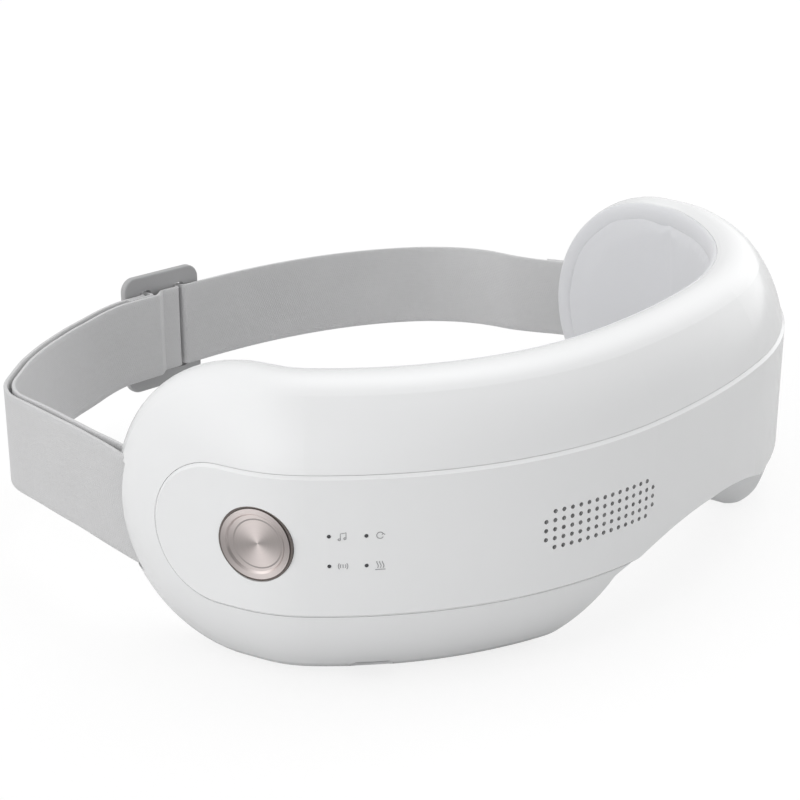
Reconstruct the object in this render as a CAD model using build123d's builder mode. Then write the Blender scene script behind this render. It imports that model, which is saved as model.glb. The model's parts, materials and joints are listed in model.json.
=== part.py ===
from build123d import *
import os
from math import cos, radians, sin, sqrt

os.makedirs("parts", exist_ok=True)

# ---------------------------------------------------------------- driving sizes (mm)
MASK_HEIGHT = 69.0          # lobe bottoms to brow, the mask stands on z = 0
REST_CUT = 0.3              # depth of the narrow flats that the lobes stand on
OVERALL_DEPTH = 184.0       # front of the band to the back of the head loop
FRONT_RADIUS = 216.0        # plan radius over the nose
FRONT_ANGLE = 7.0           # half angle of the nose stretch
CHEEK_RADIUS = 103.0        # plan radius over the eyes
CHEEK_ANGLE = 48.0
CORNER_RADIUS = 34.0        # plan radius where the visor turns to the temples
CORNER_ANGLE = 27.0
TEMPLE_RUN = 5.0            # straight run behind the corner before the rounded ends

BAND_HALF = 16.5            # half height of the front band
BAND_BEVEL = 0.7            # small bevel that catches the light along the band
PANEL_WALL = 1.6            # wall of the separate band panel
SLOPE_START = 80.0          # steepness of the brow slope at the band, degrees
SHOULDER_START = 50.0       # steepness where the slope turns into the top
RIM_FALL = 20.0             # fall of the top towards the face
SHOULDER_RADIUS = 9.0
RIM_DEPTH = 1.0             # straight part of the rim behind the shoulder
SHELL_WALL = 2.0

NOTCH_TOP = 23.5            # height of the nose notch
NOTCH_SHOULDER_X = 37.0
NOTCH_SHOULDER_Z = 16.0
NOTCH_FOOT_X = 48.0
NOTCH_REACH = 12.0          # width of the soft corner outside each foot

FIT = 0.3                   # gap between loosely assembled neighbours
GLUE_GAP = 0.1              # gap between pieces that are stuck together
SLIDE_GAP = 0.1             # radial clearance of the button and its stem
SHAFT_GAP = 0.05            # radial clearance of a shaft or a screw in its hole

FRAME_SEAT = 12.4           # depth of the frame's front side below the band
FRAME_WALL = 2.4
CUSHION_PROUD = 2.0         # how far the cushion stands out of the rim
CUSHION_ROUND = 1.6         # rounding of the cushion's face edge
HEATER_WALL = 0.4
EYE_PLACE = 34.4            # distance of each eye pad from the nose along the band
EYE_HEIGHT = 43.0
EYE_WIDTH = 44.0
EYE_TALL = 29.0
EYE_BULGE = 2.0

BUTTON_DIAMETER = 16.2
BUTTON_ANGLE = 19.0         # place of the button on the corner arc
BUTTON_SINK = 0.5           # the flat button lies this far under the crest of the arc
BUTTON_TRAVEL = 0.6
BUTTON_WALL = 1.9
BUTTON_DISH = 0.5           # depth of the dished centre
DISH_SHARE = 0.8            # dish floor over cap diameter
BUTTON_DRAFT = 40.0         # slope of the dish wall, degrees
STEM_DIAMETER = 5.8
BEZEL_WALL = 0.45
BEZEL_DEPTH = 5.6
BEZEL_FLOOR = 1.0
WELL_WALL = 1.6
SWITCH_SIZE = 6.0
SWITCH_HEIGHT = 3.2
PLUNGER_DIAMETER = 3.0
PLUNGER_PROUD = 0.7
PLUNGER_SEAT = 0.4          # part of the plunger that stands inside the switch at rest
SWITCH_BOARD_WIDTH = 12.0
SWITCH_BOARD_HEIGHT = 14.0

GRILLE_PLACE = -43.0        # distance along the band from the nose, left is minus
GRILLE_HEIGHT = 33.0
GRILLE_COLUMNS = 15
GRILLE_ROWS = 5
GRILLE_PITCH = 2.3
GRILLE_ROW_PITCH = 2.15
GRILLE_HOLE = 1.0
GRILLE_CORNER = 4.0
SPEAKER_LENGTH = 36.0
SPEAKER_HEIGHT = 14.0
GASKET_WALL = 0.4           # gasket where the curved wall comes nearest to the speaker
SPEAKER_FLANGE = 1.2
SPEAKER_RIM = 2.0           # width of the flange round the cone
BASKET_HEIGHT = 2.4
MAGNET_LENGTH = 14.0
MAGNET_WIDTH = 9.0
MAGNET_HEIGHT = 2.0
CONE_WALL = 0.6
MESH_WALL = 0.3

BOARD_WALL = 1.2
BOARD_STEP = 25.95          # button to the middle of the board along the band
BOARD_WIDTH = 28.0
BOARD_HEIGHT = 34.0
TONGUE_WIDTH = 12.0         # board tongue that reaches down to the charging inlet
LED_STEP = 20.15            # button to the middle of the lights
LED_HEIGHT = 33.8
LED_PITCH = 7.9
LED_ROW_PITCH = 6.9
LED_HOLE = 1.0
LED_SIZE = 1.6
LED_THICKNESS = 0.6
SOCKET_WIDTH = 8.9
SOCKET_THICKNESS = 3.2
SOCKET_LENGTH = 7.4
SOCKET_WALL = 0.3
SOCKET_RISE = 2.8           # height of the inlet's mouth over the resting plane
BATTERY_PLACE = 84.0
BATTERY_WIDTH = 36.0
BATTERY_GAP = 2.35          # battery to the motor below it
BATTERY_THICKNESS = 5.6
BATTERY_ROUND = 1.2

MOTOR_PLACE = 66.0
MOTOR_HEIGHT = 14.0
MOTOR_DIAMETER = 6.0
MOTOR_LENGTH = 12.0
WEIGHT_DIAMETER = 5.4
WEIGHT_LENGTH = 4.0
WEIGHT_GAP = 0.8            # motor end to the turning weight
SHAFT_DIAMETER = 1.0
SHAFT_SEAT = 5.0            # length of the shaft inside the motor

SCREW_DIAMETER = 2.0
SCREW_HEAD = 3.8
SCREW_HEAD_HEIGHT = 1.2
SCREW_LENGTH = 7.0
SCREW_RECESS = 0.7
BOSS_DIAMETER = 5.4
NOSE_SCREW = 22.0           # nose to the inner screws along the band
NOSE_SCREW_DROP = 12.0      # inner screws below the brow
TOP_SCREW_STEP = 46.95      # button to the outer top screws
TOP_SCREW_DROP = 9.0
LOW_SCREW_STEP = 43.95      # button to the lower screws
LOW_SCREW_HEIGHT = 8.0

STRAP_WIDTH = 25.0
STRAP_THICKNESS = 1.2
STRAP_TOP = 43.0
RIGHT_BEND_IN = 5.5         # where the strap's right corner arc begins, from the pin
RIGHT_BEND_BACK = 35.1
RIGHT_LEAN = 6.0            # lean of the right run towards the inside
RIGHT_CORNER_SHARE = 0.743  # radius of the right corner over the depth behind its bend
RIGHT_CORNER_ANGLE = 39.0
LEFT_BEND_IN = 9.3          # the left corner begins farther back and is tighter
LEFT_BEND_BACK = 56.5
LEFT_LEAN = 15.0
LEFT_CORNER_SHARE = 0.53
LEFT_CORNER_ANGLE = 42.0
WEAVE_RADIUS = 0.8          # turns of the webbing at the buckle bars
LOOP_GAP = 0.8
SEAM_GAP = 0.15             # gap between layers that lie on each other
SEAM = 2.0                  # length of a sewn seam
PIN_EXIT = 12.65            # pin to the rear end of the shell
PIN_DIAMETER = 2.5
PIN_LENGTH = 30.0
PIN_DEPTH = 9.0
PIN_BOSS = 5.5
BUCKLE_LENGTH = 27.0
BUCKLE_HEIGHT = 35.0
BUCKLE_WALL = 2.2
BUCKLE_ROUND = 4.0
BUCKLE_TILT = -8.0
SLOT_PLACE = 6.1
SLOT_WIDTH = 3.8

SECTION_HALF = (MASK_HEIGHT + REST_CUT) / 2
MID = MASK_HEIGHT - SECTION_HALF
PIN_REACH = SECTION_HALF - PIN_EXIT
FRONT_Y = -OVERALL_DEPTH / 2
SLOPE_TURN = cos(radians(SHOULDER_START)) - cos(radians(SLOPE_START))
SHOULDER_RISE = SHOULDER_RADIUS * (1 - cos(radians(SHOULDER_START)))
SLOPE_RADIUS = (SECTION_HALF - BAND_HALF - SHOULDER_RISE) / SLOPE_TURN
SLOPE_DEPTH = SLOPE_RADIUS * (sin(radians(SLOPE_START)) - sin(radians(SHOULDER_START)))
SHOULDER_DEPTH = SHOULDER_RADIUS * (sin(radians(SHOULDER_START)) + sin(radians(RIM_FALL)))
SHELL_DEPTH = BAND_BEVEL + SLOPE_DEPTH + SHOULDER_DEPTH + RIM_DEPTH
STRAP_MID = STRAP_TOP - STRAP_WIDTH / 2
LAYER_WALL = SHELL_WALL + FIT
FRAME_BACK = FRAME_SEAT + FRAME_WALL
CUSHION_START = FRAME_BACK + FIT
CUSHION_END = SHELL_DEPTH + CUSHION_PROUD
HOLLOW_DEPTH = CUSHION_END + 2 * CUSHION_PROUD
INSIDE = FRAME_SEAT - FIT   # depth that the back of the inner parts reaches

# ---------------------------------------------------------------- plan curve of the band
with BuildLine() as plan:
    nose = JernArc((0, FRONT_Y), (1, 0), FRONT_RADIUS, FRONT_ANGLE)
    cheek = JernArc(nose @ 1, nose % 1, CHEEK_RADIUS, CHEEK_ANGLE)
    corner = JernArc(cheek @ 1, cheek % 1, CORNER_RADIUS, CORNER_ANGLE)
    temple = PolarLine(corner @ 1, TEMPLE_RUN, direction=corner % 1)
HALF_PLAN = Pos(0, 0, MID) * plan.wires()[0]
NOSE_LENGTH = nose.length
CHEEK_LENGTH = cheek.length
TEMPLE = temple @ 1
BACKWARD = temple % 1
INWARD = Vector(-BACKWARD.Y, BACKWARD.X)
FRONT_PLANE = Plane(origin=(0, FRONT_Y, MID), x_dir=(0, 1, 0), z_dir=(1, 0, 0))
END_PLANE = Plane(origin=(TEMPLE.X, TEMPLE.Y, MID), x_dir=INWARD, z_dir=BACKWARD)
END_AXIS = Axis((TEMPLE.X, TEMPLE.Y, MID), INWARD)


def band_plane(distance, height, depth=0.0):
    """Plane on the band: z outward, y up; distance runs along the plan, left is minus."""
    point = HALF_PLAN.position_at(abs(distance), position_mode=PositionMode.LENGTH)
    along = HALF_PLAN.tangent_at(abs(distance), position_mode=PositionMode.LENGTH)
    side = 1 if distance >= 0 else -1
    outward = Vector(along.Y * side, -along.X, 0)
    origin = Vector(point.X * side, point.Y, height) - outward * depth
    return Plane(origin=origin, x_dir=Vector(along.X, along.Y * side, 0), z_dir=outward)


# ---------------------------------------------------------------- sections (depth, height above MID)
def shell_outline(depth, wall=0.0):
    """Section of the visor body down to a depth, inset by a wall."""
    heading = Vector(cos(radians(SLOPE_START)), sin(radians(SLOPE_START)))
    start = Vector(BAND_BEVEL, BAND_HALF) + Vector(heading.Y, -heading.X) * wall
    with BuildSketch() as section:
        with BuildLine():
            slope = JernArc(start, heading, SLOPE_RADIUS - wall, SHOULDER_START - SLOPE_START)
            shoulder = JernArc(slope @ 1, slope % 1, SHOULDER_RADIUS - wall, -SHOULDER_START - RIM_FALL)
            run = (depth - (shoulder @ 1).X) / cos(radians(RIM_FALL))
            rim = PolarLine(shoulder @ 1, run, -RIM_FALL)
            Polyline(rim @ 1, (depth, 0), (start.X, 0), start)
        make_face()
        mirror(about=Plane.XZ)
        Rectangle(2 * (PANEL_WALL + wall), 2 * (BAND_HALF + wall), mode=Mode.SUBTRACT)
    return section.sketch


def layer_outline(start, end, wall=LAYER_WALL, edge_round=0.0):
    """Section of a layer that fills the visor between two depths, inset by a wall."""
    with BuildSketch() as section:
        add(shell_outline(HOLLOW_DEPTH, wall))
        with Locations(((start + end) / 2, 0)):
            Rectangle(end - start, MASK_HEIGHT, mode=Mode.INTERSECT)
        if edge_round:
            fillet(section.vertices().group_by(Axis.X)[-1], edge_round)
    return section.sketch


def eye_outline():
    """Section of an eye pad with its domed face side."""
    face = CUSHION_END - CUSHION_PROUD / 2
    low = EYE_HEIGHT - MID - EYE_TALL / 2
    high = low + EYE_TALL
    with BuildSketch() as section:
        with BuildLine():
            Polyline((face, low), (PAD_START, low), (PAD_START, high), (face, high))
            ThreePointArc((face, low), (CUSHION_END + EYE_BULGE, (low + high) / 2), (face, high))
        make_face()
    return section.sketch


def panel_outline():
    """Section of the band panel with its small bevels."""
    edge = BAND_HALF - SLIDE_GAP
    with BuildSketch() as section:
        with BuildLine():
            Polyline(
                (PANEL_WALL, edge),
                (BAND_BEVEL, edge),
                (0, edge - BAND_BEVEL),
                (0, BAND_BEVEL - edge),
                (BAND_BEVEL, -edge),
                (PANEL_WALL, -edge),
                close=True,
            )
        make_face()
    return section.sketch


def wrapped(section):
    """Carry a section along the plan and turn it round both temple ends."""
    with BuildSketch() as upper:
        add(section)
        split(bisect_by=Plane.XZ, keep=Keep.BOTTOM)
    with BuildPart() as body:
        sweep(FRONT_PLANE * section, path=HALF_PLAN)
        revolve(END_PLANE * upper.sketch, axis=END_AXIS, revolution_arc=180)
        mirror(about=Plane.YZ)
    return body.part


def notch(grow=0.0):
    """Nose notch as a body that is taken away from the front, grown by a wall."""
    with BuildPart() as cut:
        with BuildSketch(Plane.XZ.offset(SHELL_WALL - FRONT_Y)):
            with BuildLine():
                edge = NOTCH_FOOT_X + NOTCH_REACH
                Polyline((0, -MID), (edge, -MID), (edge, 0), (NOTCH_FOOT_X, 0))
                Line((NOTCH_FOOT_X, 0), (NOTCH_SHOULDER_X, NOTCH_SHOULDER_Z))
                TangentArc((NOTCH_SHOULDER_X, NOTCH_SHOULDER_Z), (0, NOTCH_TOP), tangent=(-1, 0.45))
                Line((0, NOTCH_TOP), (0, -MID))
            make_face()
            mirror(about=Plane.YZ)
            if grow:
                offset(amount=grow, kind=Kind.INTERSECTION)
        extrude(amount=-MASK_HEIGHT)
    return cut.part


# ---------------------------------------------------------------- places that parts share
PAD_START = FRAME_BACK + GLUE_GAP + HEATER_WALL + FIT
BUTTON_PLACE = -NOSE_LENGTH - CHEEK_LENGTH - CORNER_RADIUS * radians(BUTTON_ANGLE)
BUTTON = band_plane(BUTTON_PLACE, MID, BUTTON_SINK)
BEZEL_BORE = BUTTON_DIAMETER / 2 + SLIDE_GAP
BEZEL_RADIUS = BEZEL_BORE + BEZEL_WALL
WELL_RADIUS = BEZEL_RADIUS + SHAFT_GAP
SWITCH_SEAT = INSIDE - BUTTON_SINK - BOARD_WALL
SWITCH_TOP = SWITCH_SEAT - SWITCH_HEIGHT
STEM_END = SWITCH_TOP - PLUNGER_PROUD
LED_POINTS = [
    (BUTTON_PLACE + LED_STEP + column * LED_PITCH / 2, LED_HEIGHT + row * LED_ROW_PITCH / 2)
    for column in (-1, 1)
    for row in (-1, 1)
]
GRILLE_POINTS = [
    (
        GRILLE_PLACE + (column - (GRILLE_COLUMNS - 1) / 2) * GRILLE_PITCH,
        GRILLE_HEIGHT + (row - (GRILLE_ROWS - 1) / 2) * GRILLE_ROW_PITCH,
    )
    for column in range(GRILLE_COLUMNS)
    for row in range(GRILLE_ROWS)
    if column not in (0, GRILLE_COLUMNS - 1) or row not in (0, GRILLE_ROWS - 1)
]
WINDOW_LENGTH = GRILLE_PITCH * GRILLE_COLUMNS + GRILLE_HOLE
WINDOW_HEIGHT = GRILLE_ROW_PITCH * GRILLE_ROWS + GRILLE_HOLE
SPEAKER_SAG = CHEEK_RADIUS * (1 - sqrt(1 - (SPEAKER_LENGTH / 2 / CHEEK_RADIUS) ** 2))
SPEAKER_SEAT = PANEL_WALL + SHELL_WALL + 2 * GLUE_GAP + GASKET_WALL + SPEAKER_SAG
BOARD_FACE = INSIDE - BOARD_WALL
BOARD = band_plane(BUTTON_PLACE + BOARD_STEP, MID, BOARD_FACE)
INLET = band_plane(BUTTON_PLACE + BOARD_STEP, 0, BOARD_FACE - SOCKET_THICKNESS / 2)
INLET = Plane(origin=INLET.origin, x_dir=INLET.x_dir, z_dir=(0, 0, 1))
SCREW_PLACES = (
    (NOSE_SCREW, MASK_HEIGHT - NOSE_SCREW_DROP),
    (-BUTTON_PLACE - TOP_SCREW_STEP, MASK_HEIGHT - TOP_SCREW_DROP),
    (-BUTTON_PLACE - LOW_SCREW_STEP, LOW_SCREW_HEIGHT),
)
SCREWS = [band_plane(side * place, height) for place, height in SCREW_PLACES for side in (-1, 1)]
SCREW_SEAT = FRAME_BACK - SCREW_HEAD_HEIGHT - SHAFT_GAP
SIDES = {"left": -1, "right": 1}
EYES = {name: band_plane(side * EYE_PLACE, EYE_HEIGHT) for name, side in SIDES.items()}
MOTOR_DEPTH = INSIDE - MOTOR_DIAMETER / 2
BATTERY_HEIGHT = 2 * (MID - MOTOR_HEIGHT - MOTOR_DIAMETER / 2 - BATTERY_GAP)


def motor_plane(side):
    """Plane across a motor: z along its shaft towards the nose."""
    place = band_plane(side * MOTOR_PLACE, MOTOR_HEIGHT, MOTOR_DEPTH)
    return Plane(origin=place.origin, x_dir=place.z_dir, z_dir=place.x_dir * -side)


def pin_plane(side):
    """Level plane at a strap pin: x into the mask, y backward, z up."""
    inward = Vector(INWARD.X * side, INWARD.Y)
    backward = Vector(BACKWARD.X * side, BACKWARD.Y)
    place = Vector(TEMPLE.X * side, TEMPLE.Y) + backward * PIN_REACH + inward * PIN_DEPTH
    return Plane(origin=(place.X, place.Y, STRAP_MID), x_dir=inward, z_dir=(0, 0, -side))


MOTORS = {name: motor_plane(side) for name, side in SIDES.items()}
PINS = {name: pin_plane(side) for name, side in SIDES.items()}
STRAP_SLOT = PIN_DIAMETER + 2 * STRAP_THICKNESS + 3 * FIT


def shell_cavity():
    """Hollow of the front shell, with the bosses and the button well left standing."""
    with BuildPart() as cavity:
        add(wrapped(shell_outline(HOLLOW_DEPTH, SHELL_WALL)))
        add(notch(SHELL_WALL), mode=Mode.SUBTRACT)
        for screw in SCREWS:
            with BuildSketch(screw.offset(GLUE_GAP - FRAME_SEAT)):
                Circle(BOSS_DIAMETER / 2)
            extrude(amount=FRAME_SEAT, mode=Mode.SUBTRACT)
        with BuildSketch(BUTTON.offset(-BEZEL_DEPTH)):
            Circle(WELL_RADIUS + WELL_WALL)
        extrude(amount=BEZEL_DEPTH, mode=Mode.SUBTRACT)
        for pin in PINS.values():
            for end in (-1, 1):
                with BuildSketch(pin.offset(end * (STRAP_WIDTH / 2 + FIT))):
                    SlotOverall(2 * PIN_BOSS, PIN_BOSS, rotation=90)
                extrude(amount=end * MID, mode=Mode.SUBTRACT)
    return cavity.part


# ---------------------------------------------------------------- front shell
with BuildPart() as front_shell:
    add(wrapped(shell_outline(SHELL_DEPTH)))
    add(notch(), mode=Mode.SUBTRACT)
    add(shell_cavity(), mode=Mode.SUBTRACT)
    for screw in SCREWS:
        with BuildSketch(screw.offset(-FRAME_SEAT)):
            Circle(SCREW_DIAMETER / 2 + SHAFT_GAP)
        extrude(amount=SCREW_LENGTH, mode=Mode.SUBTRACT)
    with BuildSketch(BUTTON.offset(-2 * BEZEL_DEPTH)):
        Circle(WELL_RADIUS)
    extrude(amount=3 * BEZEL_DEPTH, mode=Mode.SUBTRACT)
    with BuildSketch(band_plane(GRILLE_PLACE, GRILLE_HEIGHT, SPEAKER_SEAT)):
        RectangleRounded(WINDOW_LENGTH, WINDOW_HEIGHT, GRILLE_CORNER)
    extrude(amount=SPEAKER_SEAT, mode=Mode.SUBTRACT)
    for distance, height in LED_POINTS:
        with BuildSketch(band_plane(distance, height, SPEAKER_SEAT)):
            Circle(LED_HOLE / 2)
        extrude(amount=SPEAKER_SEAT, mode=Mode.SUBTRACT)
    with BuildSketch(INLET.offset(-SOCKET_RISE)):
        RectangleRounded(SOCKET_WIDTH + 2 * FIT, SOCKET_THICKNESS + 2 * FIT, SOCKET_THICKNESS / 2)
    extrude(amount=2 * SOCKET_RISE + SOCKET_LENGTH, mode=Mode.SUBTRACT)
    for pin in PINS.values():
        with BuildSketch(pin.offset(-STRAP_WIDTH / 2 - FIT)):
            with Locations((0, PIN_REACH / 2 - STRAP_SLOT / 4)):
                Rectangle(STRAP_SLOT, PIN_REACH + STRAP_SLOT / 2)
        extrude(amount=STRAP_WIDTH + 2 * FIT, mode=Mode.SUBTRACT)
        with BuildSketch(pin.offset(-PIN_LENGTH / 2 - SHAFT_GAP)):
            Circle(PIN_DIAMETER / 2 + SHAFT_GAP)
        extrude(amount=PIN_LENGTH + 2 * SHAFT_GAP, mode=Mode.SUBTRACT)
    split(bisect_by=Plane.XY, keep=Keep.TOP)
front_shell.part.label = "front_shell"
export_step(front_shell.part, "parts/front_shell.step")

# ---------------------------------------------------------------- band panel with the speaker grille
with BuildPart() as band_panel:
    add(wrapped(panel_outline()))
    add(notch(), mode=Mode.SUBTRACT)
    with BuildSketch(BUTTON.offset(-BEZEL_DEPTH)):
        Circle(WELL_RADIUS)
    extrude(amount=2 * BEZEL_DEPTH, mode=Mode.SUBTRACT)
    for points, hole in ((GRILLE_POINTS, GRILLE_HOLE), (LED_POINTS, LED_HOLE)):
        with Locations(*[band_plane(distance, height) for distance, height in points]):
            Cylinder(hole / 2, 4 * PANEL_WALL, mode=Mode.SUBTRACT)
band_panel.part.label = "band_panel"
export_step(band_panel.part, "parts/band_panel.step")

# ---------------------------------------------------------------- face side frame
with BuildPart() as face_frame:
    add(wrapped(layer_outline(FRAME_SEAT, FRAME_BACK)))
    add(notch(LAYER_WALL), mode=Mode.SUBTRACT)
    for screw in SCREWS:
        with BuildSketch(screw.offset(-FRAME_BACK - FIT)):
            Circle(SCREW_DIAMETER / 2 + SHAFT_GAP)
        extrude(amount=2 * FRAME_WALL, mode=Mode.SUBTRACT)
        with BuildSketch(screw.offset(-SCREW_SEAT)):
            Circle(SCREW_HEAD / 2 + SHAFT_GAP)
        extrude(amount=-FRAME_WALL, mode=Mode.SUBTRACT)
face_frame.part.label = "face_frame"
export_step(face_frame.part, "parts/face_frame.step")

# ---------------------------------------------------------------- case screws
with BuildPart() as case_screws:
    for screw in SCREWS:
        with BuildSketch(screw.offset(-SCREW_SEAT)):
            Circle(SCREW_DIAMETER / 2)
        extrude(amount=SCREW_LENGTH)
        with BuildSketch(screw.offset(-SCREW_SEAT)):
            Circle(SCREW_HEAD / 2)
        extrude(amount=-SCREW_HEAD_HEIGHT)
        with BuildSketch(screw.offset(-SCREW_SEAT - SCREW_HEAD_HEIGHT)):
            for angle in (0, 90):
                Rectangle(SCREW_DIAMETER, SCREW_DIAMETER / 4, rotation=angle)
        extrude(amount=SCREW_RECESS, mode=Mode.SUBTRACT)
case_screws.part.label = "case_screws"
export_step(case_screws.part, "parts/case_screws.step")

# ---------------------------------------------------------------- soft face side
with BuildPart() as face_cushion:
    add(wrapped(layer_outline(CUSHION_START, CUSHION_END, edge_round=CUSHION_ROUND)))
    add(notch(LAYER_WALL), mode=Mode.SUBTRACT)
    for eye in EYES.values():
        with BuildSketch(eye.offset(-MID)):
            Ellipse(EYE_WIDTH / 2 + FIT, EYE_TALL / 2 + FIT)
        extrude(amount=MID, mode=Mode.SUBTRACT)
face_cushion.part.label = "face_cushion"
export_step(face_cushion.part, "parts/face_cushion.step")

for name, eye in EYES.items():
    with BuildPart() as eye_pad:
        add(wrapped(eye_outline()))
        with BuildSketch(eye.offset(-MID)):
            Ellipse(EYE_WIDTH / 2, EYE_TALL / 2)
        extrude(amount=MID, mode=Mode.INTERSECT)
    eye_pad.part.label = f"eye_pad_{name}"
    export_step(eye_pad.part, f"parts/eye_pad_{name}.step")

    with BuildPart() as heating_film:
        add(wrapped(layer_outline(FRAME_BACK + GLUE_GAP, PAD_START - FIT)))
        with BuildSketch(eye.offset(-MID)):
            Ellipse(EYE_WIDTH / 2 - FIT, EYE_TALL / 2 - FIT)
        extrude(amount=MID, mode=Mode.INTERSECT)
    heating_film.part.label = f"heating_film_{name}"
    export_step(heating_film.part, f"parts/heating_film_{name}.step")

# ---------------------------------------------------------------- power button group
with BuildPart() as power_button:
    with BuildSketch(BUTTON.offset(-BUTTON_WALL)):
        Circle(BUTTON_DIAMETER / 2)
    extrude(amount=BUTTON_WALL + FIT)
    with BuildSketch(BUTTON.offset(FIT - BUTTON_DISH)):
        Circle(BUTTON_DIAMETER / 2 * DISH_SHARE)
    extrude(amount=BUTTON_DISH, taper=-BUTTON_DRAFT, mode=Mode.SUBTRACT)
    with BuildSketch(BUTTON.offset(-STEM_END)):
        Circle(STEM_DIAMETER / 2)
    extrude(amount=STEM_END - BUTTON_WALL)
power_button.part.label = "power_button"
export_step(power_button.part, "parts/power_button.step")

with BuildPart() as button_bezel:
    with BuildSketch(BUTTON.offset(-BEZEL_DEPTH)):
        Circle(BEZEL_RADIUS)
    extrude(amount=BEZEL_DEPTH)
    with BuildSketch(BUTTON.offset(BEZEL_FLOOR - BEZEL_DEPTH)):
        Circle(BEZEL_BORE)
    extrude(amount=BEZEL_DEPTH, mode=Mode.SUBTRACT)
    with BuildSketch(BUTTON.offset(-BEZEL_DEPTH)):
        Circle(STEM_DIAMETER / 2 + SLIDE_GAP)
    extrude(amount=BEZEL_DEPTH, mode=Mode.SUBTRACT)
button_bezel.part.label = "button_bezel"
export_step(button_bezel.part, "parts/button_bezel.step")

with BuildPart() as switch_plunger:
    with BuildSketch(BUTTON.offset(-SWITCH_TOP - PLUNGER_SEAT)):
        Circle(PLUNGER_DIAMETER / 2)
    extrude(amount=PLUNGER_PROUD + PLUNGER_SEAT - SHAFT_GAP)
switch_plunger.part.label = "switch_plunger"
export_step(switch_plunger.part, "parts/switch_plunger.step")

with BuildPart() as tact_switch:
    with BuildSketch(BUTTON.offset(-SWITCH_SEAT)):
        RectangleRounded(SWITCH_SIZE, SWITCH_SIZE, PLUNGER_SEAT)
    extrude(amount=SWITCH_HEIGHT)
    with BuildSketch(BUTTON.offset(-SWITCH_TOP)):
        Circle(PLUNGER_DIAMETER / 2 + SHAFT_GAP)
    extrude(amount=-PLUNGER_SEAT - BUTTON_TRAVEL - GLUE_GAP, mode=Mode.SUBTRACT)
tact_switch.part.label = "tact_switch"
export_step(tact_switch.part, "parts/tact_switch.step")

with BuildPart() as switch_board:
    with BuildSketch(BUTTON.offset(-SWITCH_SEAT)):
        RectangleRounded(SWITCH_BOARD_WIDTH, SWITCH_BOARD_HEIGHT, BOARD_WALL)
    extrude(amount=-BOARD_WALL)
switch_board.part.label = "switch_board"
export_step(switch_board.part, "parts/switch_board.step")

# ---------------------------------------------------------------- main board, lights, charging inlet
with BuildPart() as main_board:
    with BuildSketch(BOARD):
        RectangleRounded(BOARD_WIDTH, BOARD_HEIGHT, BOARD_WALL)
        tongue = MID - SOCKET_RISE - SHELL_WALL
        with Locations((0, -tongue / 2)):
            Rectangle(TONGUE_WIDTH, tongue)
    extrude(amount=-BOARD_WALL)
main_board.part.label = "main_board"
export_step(main_board.part, "parts/main_board.step")

with BuildPart() as charge_socket:
    with BuildSketch(INLET.offset(SOCKET_RISE)):
        RectangleRounded(SOCKET_WIDTH, SOCKET_THICKNESS, SOCKET_THICKNESS / 2 - SHAFT_GAP)
    extrude(amount=SOCKET_LENGTH)
    with BuildSketch(INLET.offset(SOCKET_RISE)):
        inner = SOCKET_THICKNESS - 2 * SOCKET_WALL
        RectangleRounded(SOCKET_WIDTH - 2 * SOCKET_WALL, inner, inner / 2 - SHAFT_GAP)
        Rectangle(SOCKET_WIDTH - 4 * SOCKET_WALL - inner / 2, inner / 4, mode=Mode.SUBTRACT)
    extrude(amount=SOCKET_LENGTH - 2 * SOCKET_WALL, mode=Mode.SUBTRACT)
charge_socket.part.label = "charge_socket"
export_step(charge_socket.part, "parts/charge_socket.step")

with BuildPart() as status_leds:
    for distance, height in LED_POINTS:
        spot = BOARD.to_local_coords(band_plane(distance, height, BOARD_FACE).origin)
        with BuildSketch(BOARD):
            with Locations((spot.X, spot.Y)):
                Rectangle(LED_SIZE, LED_SIZE)
        extrude(amount=LED_THICKNESS)
status_leds.part.label = "status_leds"
export_step(status_leds.part, "parts/status_leds.step")

with BuildPart() as light_guides:
    for distance, height in LED_POINTS:
        with BuildSketch(band_plane(distance, height, GLUE_GAP)):
            Circle(LED_HOLE / 2 - SHAFT_GAP)
        extrude(amount=-BOARD_FACE + LED_THICKNESS + LED_SIZE)
light_guides.part.label = "light_guides"
export_step(light_guides.part, "parts/light_guides.step")

# ---------------------------------------------------------------- battery
with BuildPart() as battery_cell:
    with BuildSketch(band_plane(BATTERY_PLACE, MID, INSIDE)):
        RectangleRounded(BATTERY_WIDTH, BATTERY_HEIGHT, BATTERY_ROUND)
    extrude(amount=BATTERY_THICKNESS)
    fillet(battery_cell.edges().filter_by(Axis.Z, reverse=True).filter_by(GeomType.LINE), BATTERY_ROUND / 2)
battery_cell.part.label = "battery_cell"
export_step(battery_cell.part, "parts/battery_cell.step")

# ---------------------------------------------------------------- speaker behind the grille
SPEAKER = band_plane(GRILLE_PLACE, GRILLE_HEIGHT, SPEAKER_SEAT)
with BuildPart() as speaker_frame:
    with BuildSketch(SPEAKER):
        SlotOverall(SPEAKER_LENGTH, SPEAKER_HEIGHT)
    extrude(amount=-SPEAKER_FLANGE)
    with BuildSketch(SPEAKER.offset(-SPEAKER_FLANGE)):
        SlotOverall(SPEAKER_LENGTH - 2 * SPEAKER_RIM, SPEAKER_HEIGHT - 2 * SPEAKER_RIM)
    extrude(amount=SPEAKER_FLANGE, mode=Mode.SUBTRACT)
    with BuildSketch(SPEAKER.offset(-SPEAKER_FLANGE)):
        SlotOverall(SPEAKER_LENGTH - SPEAKER_RIM, SPEAKER_HEIGHT - SPEAKER_RIM)
    extrude(amount=-BASKET_HEIGHT)
    with BuildSketch(SPEAKER.offset(-SPEAKER_FLANGE - BASKET_HEIGHT)):
        RectangleRounded(MAGNET_LENGTH, MAGNET_WIDTH, SPEAKER_RIM / 2)
    extrude(amount=-MAGNET_HEIGHT)
speaker_frame.part.label = "speaker_frame"
export_step(speaker_frame.part, "parts/speaker_frame.step")

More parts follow.
